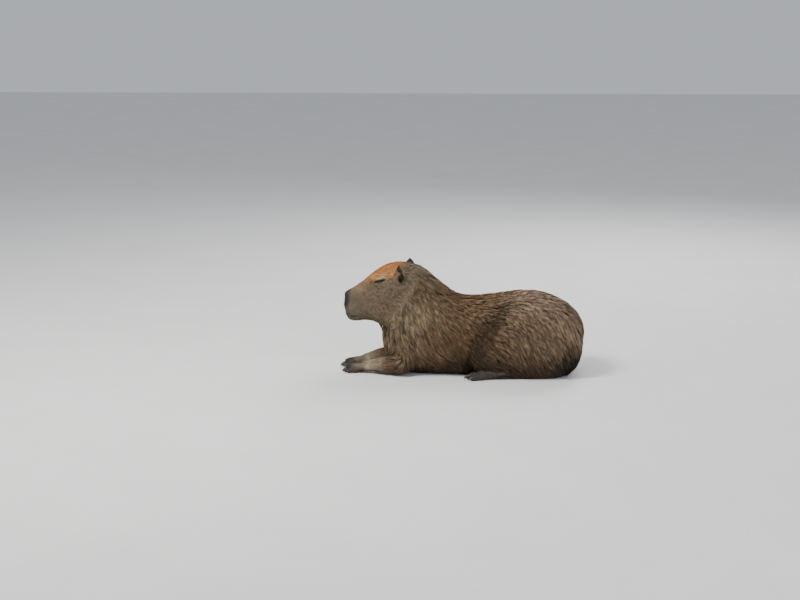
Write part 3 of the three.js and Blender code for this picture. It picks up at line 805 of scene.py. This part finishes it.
def markings_and_painted_light(p):
    """The colour of skin and hair at points, with painted light and shade."""
    c = np.repeat(BROWN[None], len(p), axis=0)
    body_markings_and_painted_light(c, p)
    head_markings_and_painted_light(c, p)
    for _, side in SIDES:
        ear_markings_and_painted_shade(c, p, side)
        eye_markings_and_painted_light(c, p, side)
    mouth = ease(-MOUTH(*p.T), -3.5, 0.5)
    # Painted shade in the line of the mouth
    paint(c, "dark_rim_and_shade", 0.75 * head_share(p[:, 0], p[:, 2], -90, 20) * mouth)
    leg_markings_and_painted_light(c, p)
    return np.clip(c, 0.004, 1)


# How the coat lies: x, |y| and z of a place, then the way its hair points, back, outward and up
LIE = np.array([
    (-300, 60, 400, 1.0, 0.1, -0.25), (-250, 0, 425, 1.0, 0.0, -0.3), (-190, 0, 415, 0.8, 0.1, -0.6),
    (-100, 0, 365, 0.8, 0.1, -0.55), (-220, 75, 330, 0.55, 0.2, -0.95), (-240, 90, 250, 0.32, 0.1, -1.0),
    (-300, 70, 200, 0.3, 0.1, -1.0), (-345, 0, 200, 0.3, 0.1, -1.0), (-330, 0, 100, 0.3, 0.1, -1.0),
    (-150, 110, 260, 0.5, 0.1, -1.0), (-150, 130, 170, 0.42, 0.1, -1.0), (-220, 130, 110, 0.5, 0.1, -0.9),
    (-60, 0, 330, 1.0, 0.15, -0.3), (-50, 110, 260, 0.75, 0.1, -0.75), (-40, 140, 170, 0.6, 0.1, -0.85),
    (-40, 140, 80, 0.7, 0.0, -0.7), (60, 0, 312, 1.0, 0.25, 0.0), (60, 130, 240, 0.85, 0.1, -0.6),
    (60, 160, 140, 0.8, 0.0, -0.6), (60, 160, 60, 0.9, 0.0, -0.4), (180, 0, 325, 1.0, 0.3, 0.0),
    (170, 120, 290, 1.0, 0.2, -0.3), (130, 165, 210, 1.0, 0.1, -0.25), (110, 180, 120, 0.85, 0.0, -0.6),
    (280, 0, 335, 1.0, 0.35, -0.15), (260, 150, 270, 0.7, 0.2, -0.75), (250, 185, 180, 0.6, 0.1, -0.85),
    (250, 185, 80, 0.5, 0.0, -0.9), (380, 0, 300, 0.8, 0.2, -0.5), (380, 140, 240, 0.5, 0.1, -0.9),
    (400, 150, 140, 0.35, 0.0, -1.0), (460, 60, 200, 0.3, 0.0, -1.0), (440, 60, 90, 0.0, 0.0, -1.0),
    (0, 0, 0, 1.0, 0.2, 0.0), (300, 60, 10, 1.0, 0.2, 0.0), (-290, 115, 60, -0.9, -0.35, -0.25),
    (-380, 70, 45, -1.0, -0.25, -0.1), (-450, 55, 30, -1.0, -0.1, -0.1),
], float)


def lie(p, normal):
    """The way hair points: as at the places near by, and straight back on the head."""
    side = np.where(p[:, 1] < 0, -1.0, 1.0)
    q = np.stack([p[:, 0], np.abs(p[:, 1]), p[:, 2]], axis=1)
    d2 = ((q[:, None, :] - LIE[None, :, :3]) ** 2).sum(-1)
    w = 1 / (d2 + 900.0) ** 1.6
    way = (w[..., None] * LIE[None, :, 3:]).sum(1) / w.sum(1, keepdims=True)
    way[:, 1] *= side
    behind, left = head_frame(p[:, 0], p[:, 1])
    head = head_share(p[:, 0], p[:, 2], -40, 30)[:, None]
    back = -FORWARD[None] - UP[None] * (0.15 + 0.35 * ease(-p[:, 2], -330, -230)[:, None])
    front = ease(-behind, -14, 0)[:, None]
    back = back + (SIDEWAYS[None] * np.sign(left)[:, None] * 1.2 - UP[None] * 0.6) * front
    way = way * (1 - head) + back * head
    way = way - normal * (way * normal).sum(1, keepdims=True)
    return way / np.maximum(np.linalg.norm(way, axis=1, keepdims=True), 1e-6)


def scatter(verts, tris, density, count):
    """Roots spread over the skin with a density given at its vertices."""
    a, b, c = verts[tris[:, 0]], verts[tris[:, 1]], verts[tris[:, 2]]
    area = np.linalg.norm(np.cross(b - a, c - a), axis=1) / 2
    weight = area * density[tris].mean(1)
    total = weight.cumsum()
    picks = (np.arange(count) + rng.random(count)) / count * total[-1]
    n = np.clip(np.searchsorted(total, picks), 0, len(tris) - 1)
    u, v = rng.random(count), rng.random(count)
    over = u + v > 1
    u[over], v[over] = 1 - u[over], 1 - v[over]
    return a[n] + (b[n] - a[n]) * u[:, None] + (c[n] - a[n]) * v[:, None]


TUFT_POINTS = 5


def tufts(roots, length, tip, surface, wander):
    """Centre lines of tufts: roots sunk in the skin, tips close under the coat's surface."""
    normal, _ = slope(surface, roots)
    way = lie(roots, normal)
    turn = rng.normal(0, 1, len(roots)) * wander
    side = np.cross(normal, way)
    way = way * np.cos(turn)[:, None] + side * np.sin(turn)[:, None]
    drift = np.tan(turn)[:, None]
    lines, normals, ways = [roots], [normal], [way]
    p = roots
    start = surface(*p.T)
    step = (length / (TUFT_POINTS - 1))[:, None]
    for k in range(1, TUFT_POINTS):
        share = k / (TUFT_POINTS - 1)
        p = p + way * step
        normal, size = slope(surface, p)
        goal = start + (tip - start) * (1 - (1 - share) ** 1.7)
        p = p + normal * np.clip((goal - surface(*p.T)) / np.maximum(size, 0.5), -14, 14)[:, None]
        p[:, 2] = np.maximum(p[:, 2], 0.8)
        base = lie(p, normal)
        way = base + np.cross(normal, base) * drift * (1 - share)
        way /= np.linalg.norm(way, axis=1, keepdims=True)
        lines.append(p)
        normals.append(normal)
        ways.append(way)
    return np.stack(lines, 1), np.stack(normals, 1), np.stack(ways, 1)


# How wide a blade is at each of its rings, from root to tip
TAPER = (1.0, 0.95, 0.62, 0.0)


def blades(lines, normals, ways, per, spread, clump, width, thick):
    """Tapered three-sided blades about each tuft's centre line."""
    n, m = lines.shape[:2]
    side = np.cross(normals, ways)
    off_side = rng.normal(0, 1, (n, per)) * spread[:, None] * 0.55
    off_back = rng.normal(0, 1, (n, per)) * spread[:, None] * 0.55
    reach = 1 - np.abs(rng.normal(0, 0.16, (n, per)))
    wide = width[:, None] * (0.7 + 0.6 * rng.random((n, per)))
    roll = rng.normal(0, 0.45, (n, per))
    fly = rng.normal(0, 1, (n, per, 2))
    rows = np.arange(n)[:, None]
    rings = []
    for share, taper in zip(np.linspace(0, 1, len(TAPER)), TAPER):
        along = share * reach * (m - 1)
        low = np.clip(np.floor(along).astype(int), 0, m - 2)
        t = (along - low)[..., None]
        centre, out, way, beside = (
            a[rows, low] * (1 - t) + a[rows, low + 1] * t for a in (lines, normals, ways, side)
        )
        gather = (1 - share) + clump * share
        stray = share * share * spread[:, None] * 0.22
        centre = centre + beside * (off_side * gather + fly[..., 0] * stray)[..., None]
        centre = centre + way * (off_back * gather)[..., None]
        centre = centre + out * (np.abs(fly[..., 1]) * share * 0.9 - 0.5)[..., None]
        if taper == 0:
            rings.append(centre[:, :, None, :])
            continue
        w = (wide * taper / 2)[..., None]
        h = thick * (0.6 + 0.4 * taper) / 2
        across = beside * np.cos(roll)[..., None] + out * np.sin(roll)[..., None]
        lift = out * np.cos(roll)[..., None] - beside * np.sin(roll)[..., None]
        corners = [centre - across * w - lift * h, centre + across * w - lift * h, centre + lift * h]
        rings.append(np.stack(corners, axis=2))
    return np.concatenate(rings, axis=2).reshape(n * per, -1, 3)


def blade_faces():
    """Triangles of one blade: its root, its three sides and its point."""
    faces = [(2, 1, 0)]
    last = 3 * (len(TAPER) - 2)
    for a in range(0, last, 3):
        for j in range(3):
            j2 = (j + 1) % 3
            faces.append((a + j, a + j2, a + 3 + j2))
            faces.append((a + j, a + 3 + j2, a + 3 + j))
    for j in range(3):
        faces.append((last + j, last + (j + 1) % 3, last + 3))
    return np.array(faces)


BLADE_FACES = blade_faces()


def unwrap(p):
    """Place on the skin: along the body, and round it."""
    u = (p[:, 0] + 520) / 1030
    v = np.arctan2(p[:, 1], p[:, 2] - 165 - 120 * ease(-p[:, 0], 120, 300)) / (2 * math.pi) + 0.5
    return np.stack([0.02 + 0.96 * u, 0.02 + 0.96 * v], axis=1)


def make_mesh(name, verts, faces, smooth=True):
    """A mesh object from millimetre points and faces of one size."""
    mesh = bpy.data.meshes.new(name)
    size = faces.shape[1]
    mesh.vertices.add(len(verts))
    mesh.vertices.foreach_set("co", (verts * MM).astype(np.float32).ravel())
    mesh.loops.add(faces.size)
    mesh.loops.foreach_set("vertex_index", faces.astype(np.int32).ravel())
    mesh.polygons.add(len(faces))
    mesh.polygons.foreach_set("loop_start", np.arange(len(faces), dtype=np.int32) * size)
    mesh.polygons.foreach_set("use_smooth", np.full(len(faces), smooth))
    mesh.update(calc_edges=True)
    obj = bpy.data.objects.new(name, mesh)
    bpy.context.scene.collection.objects.link(obj)
    return obj


def set_colours(obj, name, rgb):
    rgba = np.concatenate([rgb, np.ones((len(rgb), 1))], axis=1).astype(np.float32)
    layer = obj.data.color_attributes.new(name, "FLOAT_COLOR", "POINT")
    layer.data.foreach_set("color", rgba.ravel())


def set_values(obj, name, values):
    layer = obj.data.attributes.new(name, "FLOAT", "POINT")
    layer.data.foreach_set("value", values.astype(np.float32))


# How large a patch of the map one blade takes, and the most triangles in one piece of coat
BLADE_PATCH = 0.003
PIECE_TRIANGLES = 190000
LOWEST = 0.4


def coat_piece(name, points, roots, tint, chance, material):
    """A mesh of blades, each mapped to a small patch at the place of its root."""
    count, each = points.shape[:2]
    sides = len(TAPER) - 1
    points[..., 2] = np.maximum(points[..., 2], LOWEST)
    index = (BLADE_FACES[None] + (np.arange(count) * each)[:, None, None]).reshape(-1, 3)
    piece = make_mesh(name, points.reshape(-1, 3), index)
    along = np.tile(np.repeat(np.linspace(0, 1, sides + 1), [3] * sides + [1]), count)
    set_colours(piece, "tint", np.repeat(tint, each, axis=0))
    set_values(piece, "along", along)
    set_values(piece, "chance", np.repeat(chance, each))
    corner = np.tile(np.array([0, 1, 0.5] * sides + [0.5]), count)
    spot = np.repeat(unwrap(roots), each, axis=0)
    spot = spot + np.stack([corner, along], axis=1) * BLADE_PATCH - BLADE_PATCH / 2
    uv = piece.data.uv_layers.new(name="OFBake")
    uv.data.foreach_set("uv", spot[index.ravel()].astype(np.float32).ravel())
    piece.data.materials.append(material)
    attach(piece, "root")


# Materials
def new_material(name):
    """A material, its tree of nodes, its shader and the object's own coordinates."""
    material = bpy.data.materials.new(name)
    material.use_nodes = True
    tree = material.node_tree
    coords = tree.nodes.new("ShaderNodeTexCoord").outputs["Object"]
    return material, tree, tree.nodes["Principled BSDF"], coords


def feed(tree, node, **inputs):
    """Set a node's inputs, or link those that another node gives."""
    for name, value in inputs.items():
        socket = node.inputs[name.replace("_", " ")]
        if isinstance(value, bpy.types.NodeSocket):
            tree.links.new(value, socket)
        else:
            socket.default_value = value
    return node


def noise(tree, coords, scale, detail=4.0, rough=0.55):
    node = tree.nodes.new("ShaderNodeTexNoise")
    return feed(tree, node, Vector=coords, Scale=scale, Detail=detail, Roughness=rough).outputs["Fac"]


def ramp(tree, source, *stops):
    """Colours between stops, each a place from 0 to 1 and its colour."""
    node = tree.nodes.new("ShaderNodeValToRGB")
    elements = node.color_ramp.elements
    elements[0].position, elements[0].color = stops[0][0], (*stops[0][1], 1)
    elements[1].position, elements[1].color = stops[-1][0], (*stops[-1][1], 1)
    for at, shade in stops[1:-1]:
        elements.new(at).color = (*shade, 1)
    return feed(tree, node, Fac=source).outputs["Color"]


def times(tree, product, *factors):
    """Colours multiplied with one another."""
    for factor in factors:
        node = tree.nodes.new("ShaderNodeMix")
        node.data_type = "RGBA"
        node.blend_type = "MULTIPLY"
        product = feed(tree, node, Factor=1.0, A=product, B=factor).outputs["Result"]
    return product


def attribute(tree, name, output):
    node = tree.nodes.new("ShaderNodeAttribute")
    node.attribute_name = name
    return node.outputs[output]


def grey(v):
    return (v, v, v)


def bump(tree, height, strength, distance):
    node = tree.nodes.new("ShaderNodeBump")
    return feed(tree, node, Height=height, Strength=strength, Distance=distance).outputs["Normal"]


def hair_material(name, roots, tips, dark, pale):
    """Hair tinted by place, darker towards the root as painted shade deep in the coat and lighter to the
    tip, and dark or pale by chance.
    """
    material, tree, shader, coords = new_material(name)
    # Painted shade: roots darker than tips
    along = ramp(
        tree, attribute(tree, "along", "Fac"),
        (0.0, grey(roots)), (0.35, grey(roots * 0.5 + 0.46)), (0.8, grey(1.04)), (1.0, grey(tips)),
    )
    chance = ramp(
        tree, attribute(tree, "chance", "Fac"),
        (0.0, dark), (0.42, grey(0.88)), (0.75, (1.18, 1.15, 1.1)), (1.0, pale),
    )
    patch = ramp(tree, noise(tree, coords, 26), (0.3, grey(0.8)), (0.7, grey(1.18)))
    shade = times(tree, attribute(tree, "tint", "Color"), along, chance, patch)
    feed(tree, shader, Base_Color=shade, Roughness=0.66, Specular_IOR_Level=0.22)
    return material


def skin_material():
    material, tree, shader, coords = new_material("skin_short_hair")
    coarse = noise(tree, coords, 60)
    fine = noise(tree, coords, 900, 3.0, 0.7)
    speck = ramp(tree, fine, (0.32, grey(0.66)), (0.66, grey(1.2)))
    patch = ramp(tree, coarse, (0.3, grey(0.82)), (0.7, grey(1.14)))
    shade = times(tree, attribute(tree, "tint", "Color"), patch, speck)
    rough = ramp(tree, coarse, (0.3, grey(0.6)), (0.7, grey(0.78)))
    feed(tree, shader, Base_Color=shade, Roughness=rough, Normal=bump(tree, fine, 0.5, 0.0012))
    return material


def eye_material():
    material, tree, shader, coords = new_material("eye_wet")
    shade = ramp(tree, noise(tree, coords, 160), (0.3, (0.006, 0.004, 0.003)), (0.7, (0.02, 0.011, 0.007)))
    feed(tree, shader, Base_Color=shade, Roughness=0.16, Coat_Weight=0.2)
    return material


def claw_material():
    material, tree, shader, coords = new_material("claw_horn")
    stripes = tree.nodes.new("ShaderNodeTexWave")
    height = feed(tree, stripes, Vector=coords, Scale=90, Distortion=3).outputs["Fac"]
    shade = ramp(tree, height, (0.0, (0.012, 0.01, 0.009)), (1.0, (0.035, 0.029, 0.024)))
    feed(tree, shader, Base_Color=shade, Roughness=0.36, Normal=bump(tree, height, 0.15, 0.0006))
    return material


def floor_material():
    material, tree, shader, coords = new_material("floor_pale")
    shade = ramp(tree, noise(tree, coords, 3), (0.3, grey(0.74)), (0.7, grey(0.78)))
    feed(tree, shader, Base_Color=shade, Roughness=0.85)
    return material


HAIR = hair_material("coat_hair", 0.3, 1.35, (0.36, 0.34, 0.31), (2.0, 1.85, 1.65))
SHORT_HAIR = hair_material("short_hair", 0.95, 1.05, (0.86, 0.84, 0.81), (1.16, 1.14, 1.1))
SKIN = skin_material()
EYE = eye_material()
CLAW = claw_material()
FLOOR = floor_material()


# The skin, in place of all the flesh
verts, quads = skin_surface()
tris = np.concatenate([quads[:, [0, 1, 2]], quads[:, [0, 2, 3]]])
skin_piece = make_mesh("skin", verts, quads)
skin_piece.data.materials.append(SKIN)
set_colours(skin_piece, "tint", markings_and_painted_light(verts))
flesh = ["torso", "neck", "head"]
for name, _ in SIDES:
    flesh += [f"{part}_{name}" for part in ("ear", "foreleg", "forefoot", "hindleg", "hindfoot")]
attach(skin_piece, "root")
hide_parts(*flesh)


# The coat
def bare(p):
    """0 where no hair grows: on the eyes, in the ears, nostrils and the line of the mouth."""
    x, y, z = p.T
    behind, left = head_frame(x, y)
    nostril = squares((behind - 3, 10), (np.abs(left) - 24, 10), (z - 297, 11))
    free = ease(MOUTH(x, y, z), 1.5, 5) * ease(nostril, 0.7, 1.2) ** 2
    for _, side in SIDES:
        along, above, on_side = eye_place(p, side)
        # hair flows back, so the clear patch begins a little in front of the eye
        eye = squares((along + 5, 31), (above - 2.5, 13))
        free = free * np.where(on_side, ease(eye, 0.8, 1.25), 1)
        free = free * ease(ear_field(side)[0](x, y, z), 1.5, 5)
    return free


def hair_zones(p):
    """How thickly hair grows: long, on the face, on forelegs and on feet."""
    x, y, z = p.T
    free = bare(p)
    arm = ease(-x, 285, 325) * ease(-z, -90, -60)
    fore_paw = (x < -405) & (z < 60)
    hind_paw = (z < 46) & (np.abs(y) > 116) & (x < 104) & (x > -30) & (body(x, y, z) > -9)
    foot = fore_paw | hind_paw
    long = (1 - head_share(x, z, -62, -2)) * (1 - arm) * ~foot * ease(z, 4, 16) * free
    face = head_share(x, z, -105, -45) * (1 - arm) * ~foot * free
    return long, face, arm * ~foot * ease(z, 6, 14), foot * ease(z, 5, 10) * (outer(x, y, z) <= 4)


def grow(density, surface, *, count, per, lengths, tips, spread, clump, width, thick, sunk, wander, uneven):
    """Blades of one kind of hair, with the root, tint and chance of each."""
    roots = scatter(verts, tris, density, count)
    normal, _ = slope(surface, roots)
    roots = roots - normal * sunk
    long = lengths(roots) * (0.75 + 0.5 * rng.random(count))
    tip = tips(roots) - np.abs(rng.normal(0, uneven, count))
    lines, normals, ways = tufts(roots, long, tip, surface, wander(roots))
    points = blades(lines, normals, ways, per, spread(roots), clump, width(roots), thick)
    tint = np.repeat(markings_and_painted_light(roots), per, axis=0)
    chance = np.clip(np.repeat(rng.random(count) * 0.74, per) + rng.random(count * per) * 0.26, 0, 1)
    return points, np.repeat(roots, per, axis=0), tint, chance


def neck_share(p):
    return 1 - ease(p[:, 0], -140, 20)


def body_length(p):
    rear = ease(p[:, 0], 300, 450)
    near_head = 1 - head_share(p[:, 0], p[:, 2])
    return (56 + 8 * rear + 18 * neck_share(p)) * (0.35 + 0.65 * near_head)


def body_wander(p):
    return 0.24 - 0.12 * neck_share(p)


def hang(p):
    """Tips lie just under the coat's surface, and stand off it where the hair hangs down at the rear."""
    return -1.6 + 10 * ease(p[:, 0], 370, 450) * ease(-p[:, 2], -150, -70)


def toward_neck(p):
    """0 at the nose and 1 at the back of the head."""
    return ease(head_frame(p[:, 0], p[:, 1])[0], 30, 200)


def same(value):
    return lambda p: np.full(len(p), value)


def add_coat(prefix, hair, place, material):
    """Pieces of one kind of hair, parted by the place of its roots."""
    points, roots, tint, chance = hair
    order = np.argsort(place(roots), kind="stable")
    groups = max(1, math.ceil(len(points) * len(BLADE_FACES) / PIECE_TRIANGLES))
    for n, part in enumerate(np.array_split(order, groups)):
        coat_piece(f"{prefix}_{n + 1}", points[part], roots[part], tint[part], chance[part], material)


long_zone, face_zone, arm_zone, foot_zone = hair_zones(verts)
long_coat = grow(
    long_zone, outer, count=7500, per=8, lengths=body_length, tips=hang,
    spread=lambda p: 6.8 + 2.2 * neck_share(p), clump=0.15, width=same(2.8), thick=0.9,
    sunk=1.5, wander=body_wander, uneven=1.5,
)
add_coat("coat", long_coat, lambda p: p[:, 0] + 2000 * (p[:, 1] > 0), HAIR)
face_coat = grow(
    face_zone, skin, count=8400, per=3, lengths=lambda p: 6.5 + 5 * toward_neck(p), tips=same(1.5),
    spread=same(1.7), clump=0.5, width=lambda p: 0.75 + 0.35 * toward_neck(p), thick=0.3,
    sunk=0.5, wander=same(0.08), uneven=0.2,
)
add_coat("face_hair", face_coat, lambda p: p[:, 0], SHORT_HAIR)
arm_coat = grow(
    arm_zone, outer, count=1650, per=3, lengths=same(17.0), tips=same(-0.4),
    spread=same(3.0), clump=0.4, width=same(1.5), thick=0.5,
    sunk=0.3, wander=same(0.12), uneven=0.4,
)
add_coat("leg_hair", arm_coat, lambda p: p[:, 1], SHORT_HAIR)
foot_coat = grow(
    foot_zone, skin, count=1450, per=2, lengths=same(9.0), tips=same(0.9),
    spread=same(1.8), clump=0.4, width=same(1.1), thick=0.4,
    sunk=0.5, wander=same(0.12), uneven=0.2,
)
add_coat("foot_hair", foot_coat, lambda p: p[:, 1], SHORT_HAIR)


# Whiskers: stiff single hairs from the pads of the upper lip, swept back and down
WHISKERS = 14
WHISKERS_IN_ROW = 5
WHISKER_WIDTH = 0.75
WHISKER_TINT = colour(138, 124, 102)


def whiskers(side):
    out = SIDEWAYS * -side
    shares = np.linspace(0, 1, TUFT_POINTS)[:, None]
    bend = (-FORWARD * 0.3 - UP * 0.3) * shares ** 2
    lines, ways = [], []
    for n in range(WHISKERS):
        row, place = divmod(n, WHISKERS_IN_ROW)
        behind = 22 + place * 8 + rng.random() * 3
        height = 244 + row * 11 + rng.random() * 4
        start = head_point(behind, 0, height)
        depth = last_inside(lambda p: skin(*p[:, None])[0] < 0, start, out, 10.0, 90.0, 24)
        way = unit(out * 0.75 - FORWARD * (0.5 + 0.06 * place) - UP * (0.1 + 0.1 * rng.random()))
        long = 44 + 26 * rng.random()
        lines.append(start + out * (depth - 1.5) + (way * shares + bend) * long)
        ways.append(np.repeat(way[None], TUFT_POINTS, axis=0))
    lines, ways = np.array(lines), np.array(ways)
    normals = np.cross(np.cross(ways, UP), ways)
    normals /= np.linalg.norm(normals, axis=2, keepdims=True)
    width, spread = np.full(WHISKERS, WHISKER_WIDTH), np.full(WHISKERS, 0.1)
    return blades(lines, normals, ways, 1, spread, 1.0, width, 0.7), lines[:, 0]


for name, side in SIDES:
    points, roots = whiskers(side)
    tint = np.repeat(WHISKER_TINT[None], WHISKERS, axis=0)
    coat_piece(f"whiskers_{name}", points, roots, tint, rng.random(WHISKERS), SHORT_HAIR)


# Eyes and claws
def ring_faces(rows, around):
    """Quads between rows of points that run round a form."""
    faces = []
    for j in range(rows):
        for i in range(around):
            i2 = (i + 1) % around
            faces.append((j * around + i, j * around + i2, (j + 1) * around + i2, (j + 1) * around + i))
    return np.array(faces)


def eyeball(name, centre, radius):
    """A ball whose top bulges a little."""
    along, around = 32, 48
    pts = []
    for j in range(along + 1):
        for i in range(around):
            a, b = math.pi * j / along, 2 * math.pi * i / around
            r = radius * (1 + 0.05 * max(0.0, math.cos(a)) ** 6)
            pts.append([r * math.sin(a) * math.cos(b), r * math.sin(a) * math.sin(b), r * math.cos(a)])
    return make_mesh(name, np.array(pts) + centre, ring_faces(along, around)[:, [0, 3, 2, 1]])


for name, side in SIDES:
    eye = eyeball(f"eyeball_{name}", eye_centre(side), EYE_RADIUS - 0.6)
    eye.data.materials.append(EYE)
    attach(eye, "root")
    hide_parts(f"eye_{name}")


def claw_mesh(name, toe, length):
    """A blunt claw from the end of a toe, curved down and flat below."""
    base, way, reach, radius = toe
    tip = base + way * (reach + 2)
    tip[2] = radius * 0.8
    r = radius * 0.58
    root = tip - way * length * 0.55
    root[2] = tip[2] + radius * 0.25
    end = tip + way * length
    end[2] = radius * 0.32 + 0.6
    across = np.array([-way[1], way[0], 0.0])
    rows, around = 18, 18
    pts = []
    for j in range(rows + 1):
        t = j / rows
        centre = root + (end - root) * t
        centre[2] = root[2] + (end[2] - root[2]) * t ** 1.6
        size = r * (1 - t ** 2.2 * 0.68) * (1.0 if 0 < j < rows else 0.02)
        for i in range(around):
            b = 2 * math.pi * i / around
            up = math.sin(b)
            groove = 0.86 if up < -0.4 else 1.0
            pts.append(centre + across * size * math.cos(b) * 0.86 + UP * size * up * groove)
    return make_mesh(name, np.array(pts), ring_faces(rows, around))


for name, side in SIDES:
    for kind, foot, length in (("fore", forefoot_toes(side), 13), ("hind", hindfoot_toes(side), 16)):
        for n, toe in enumerate(foot):
            claw = claw_mesh(f"nail_{kind}_{name}_{n + 1}", toe, length)
            claw.data.materials.append(CLAW)
            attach(claw, "root")
            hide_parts(f"claw_{kind}_{name}_{n + 1}")


# Floor, light and camera
FLOOR_REACH = 16000.0
corners = [[-1, -1, 0], [1, -1, 0], [1, 1, 0], [-1, 1, 0]]
floor = make_mesh("floor", np.array(corners) * FLOOR_REACH, np.array([[0, 1, 2, 3]]), False)
floor.data.materials.append(FLOOR)


def lamp(name, at, aim, width, power, shade):
    data = bpy.data.lights.new(name, "AREA")
    data.shape = "DISK"
    data.size = width
    data.energy = power
    data.color = shade
    obj = bpy.data.objects.new(name, data)
    obj.location = at
    obj.rotation_euler = (Vector(aim) - Vector(at)).to_track_quat("-Z", "Y").to_euler()
    bpy.context.scene.collection.objects.link(obj)


lamp("key", (-2.2, -1.4, 3.6), (-0.1, 0, 0.2), 1.6, 190, (1.0, 0.97, 0.92))
lamp("back", (1.2, 3.0, 3.0), (0, 0, 0.25), 2.4, 120, (1.0, 0.98, 0.94))
lamp("fill", (2.4, -3.4, 1.8), (0, 0, 0.2), 3.0, 45, (0.95, 0.97, 1.0))

world = bpy.data.worlds.new("studio")
world.use_nodes = True
world.node_tree.nodes["Background"].inputs["Color"].default_value = (0.9, 0.94, 1.0, 1)
world.node_tree.nodes["Background"].inputs["Strength"].default_value = 0.55
bpy.context.scene.world = world

FOCAL = 1573.0
ELEVATION = math.radians(14.0)
DISTANCE = FOCAL / 0.245 * MM
AIM_RIGHT, AIM_DOWN = 66.0, 69.0
back = Vector((0, -math.cos(ELEVATION), math.sin(ELEVATION)))
camera = bpy.data.cameras.new("camera")
camera.lens = 36.0 * FOCAL / 800.0
camera.sensor_width = 36.0
camera.clip_end = 100
cam = bpy.data.objects.new("camera", camera)
cam.location = back * DISTANCE
ahead = -back
right = ahead.cross(Vector((0, 0, 1))).normalized()
above = right.cross(ahead).normalized()
look = (ahead - right * (AIM_RIGHT / FOCAL) + above * (AIM_DOWN / FOCAL)).normalized()
cam.rotation_euler = look.to_track_quat("-Z", "Y").to_euler()
bpy.context.scene.collection.objects.link(cam)
bpy.context.scene.camera = cam
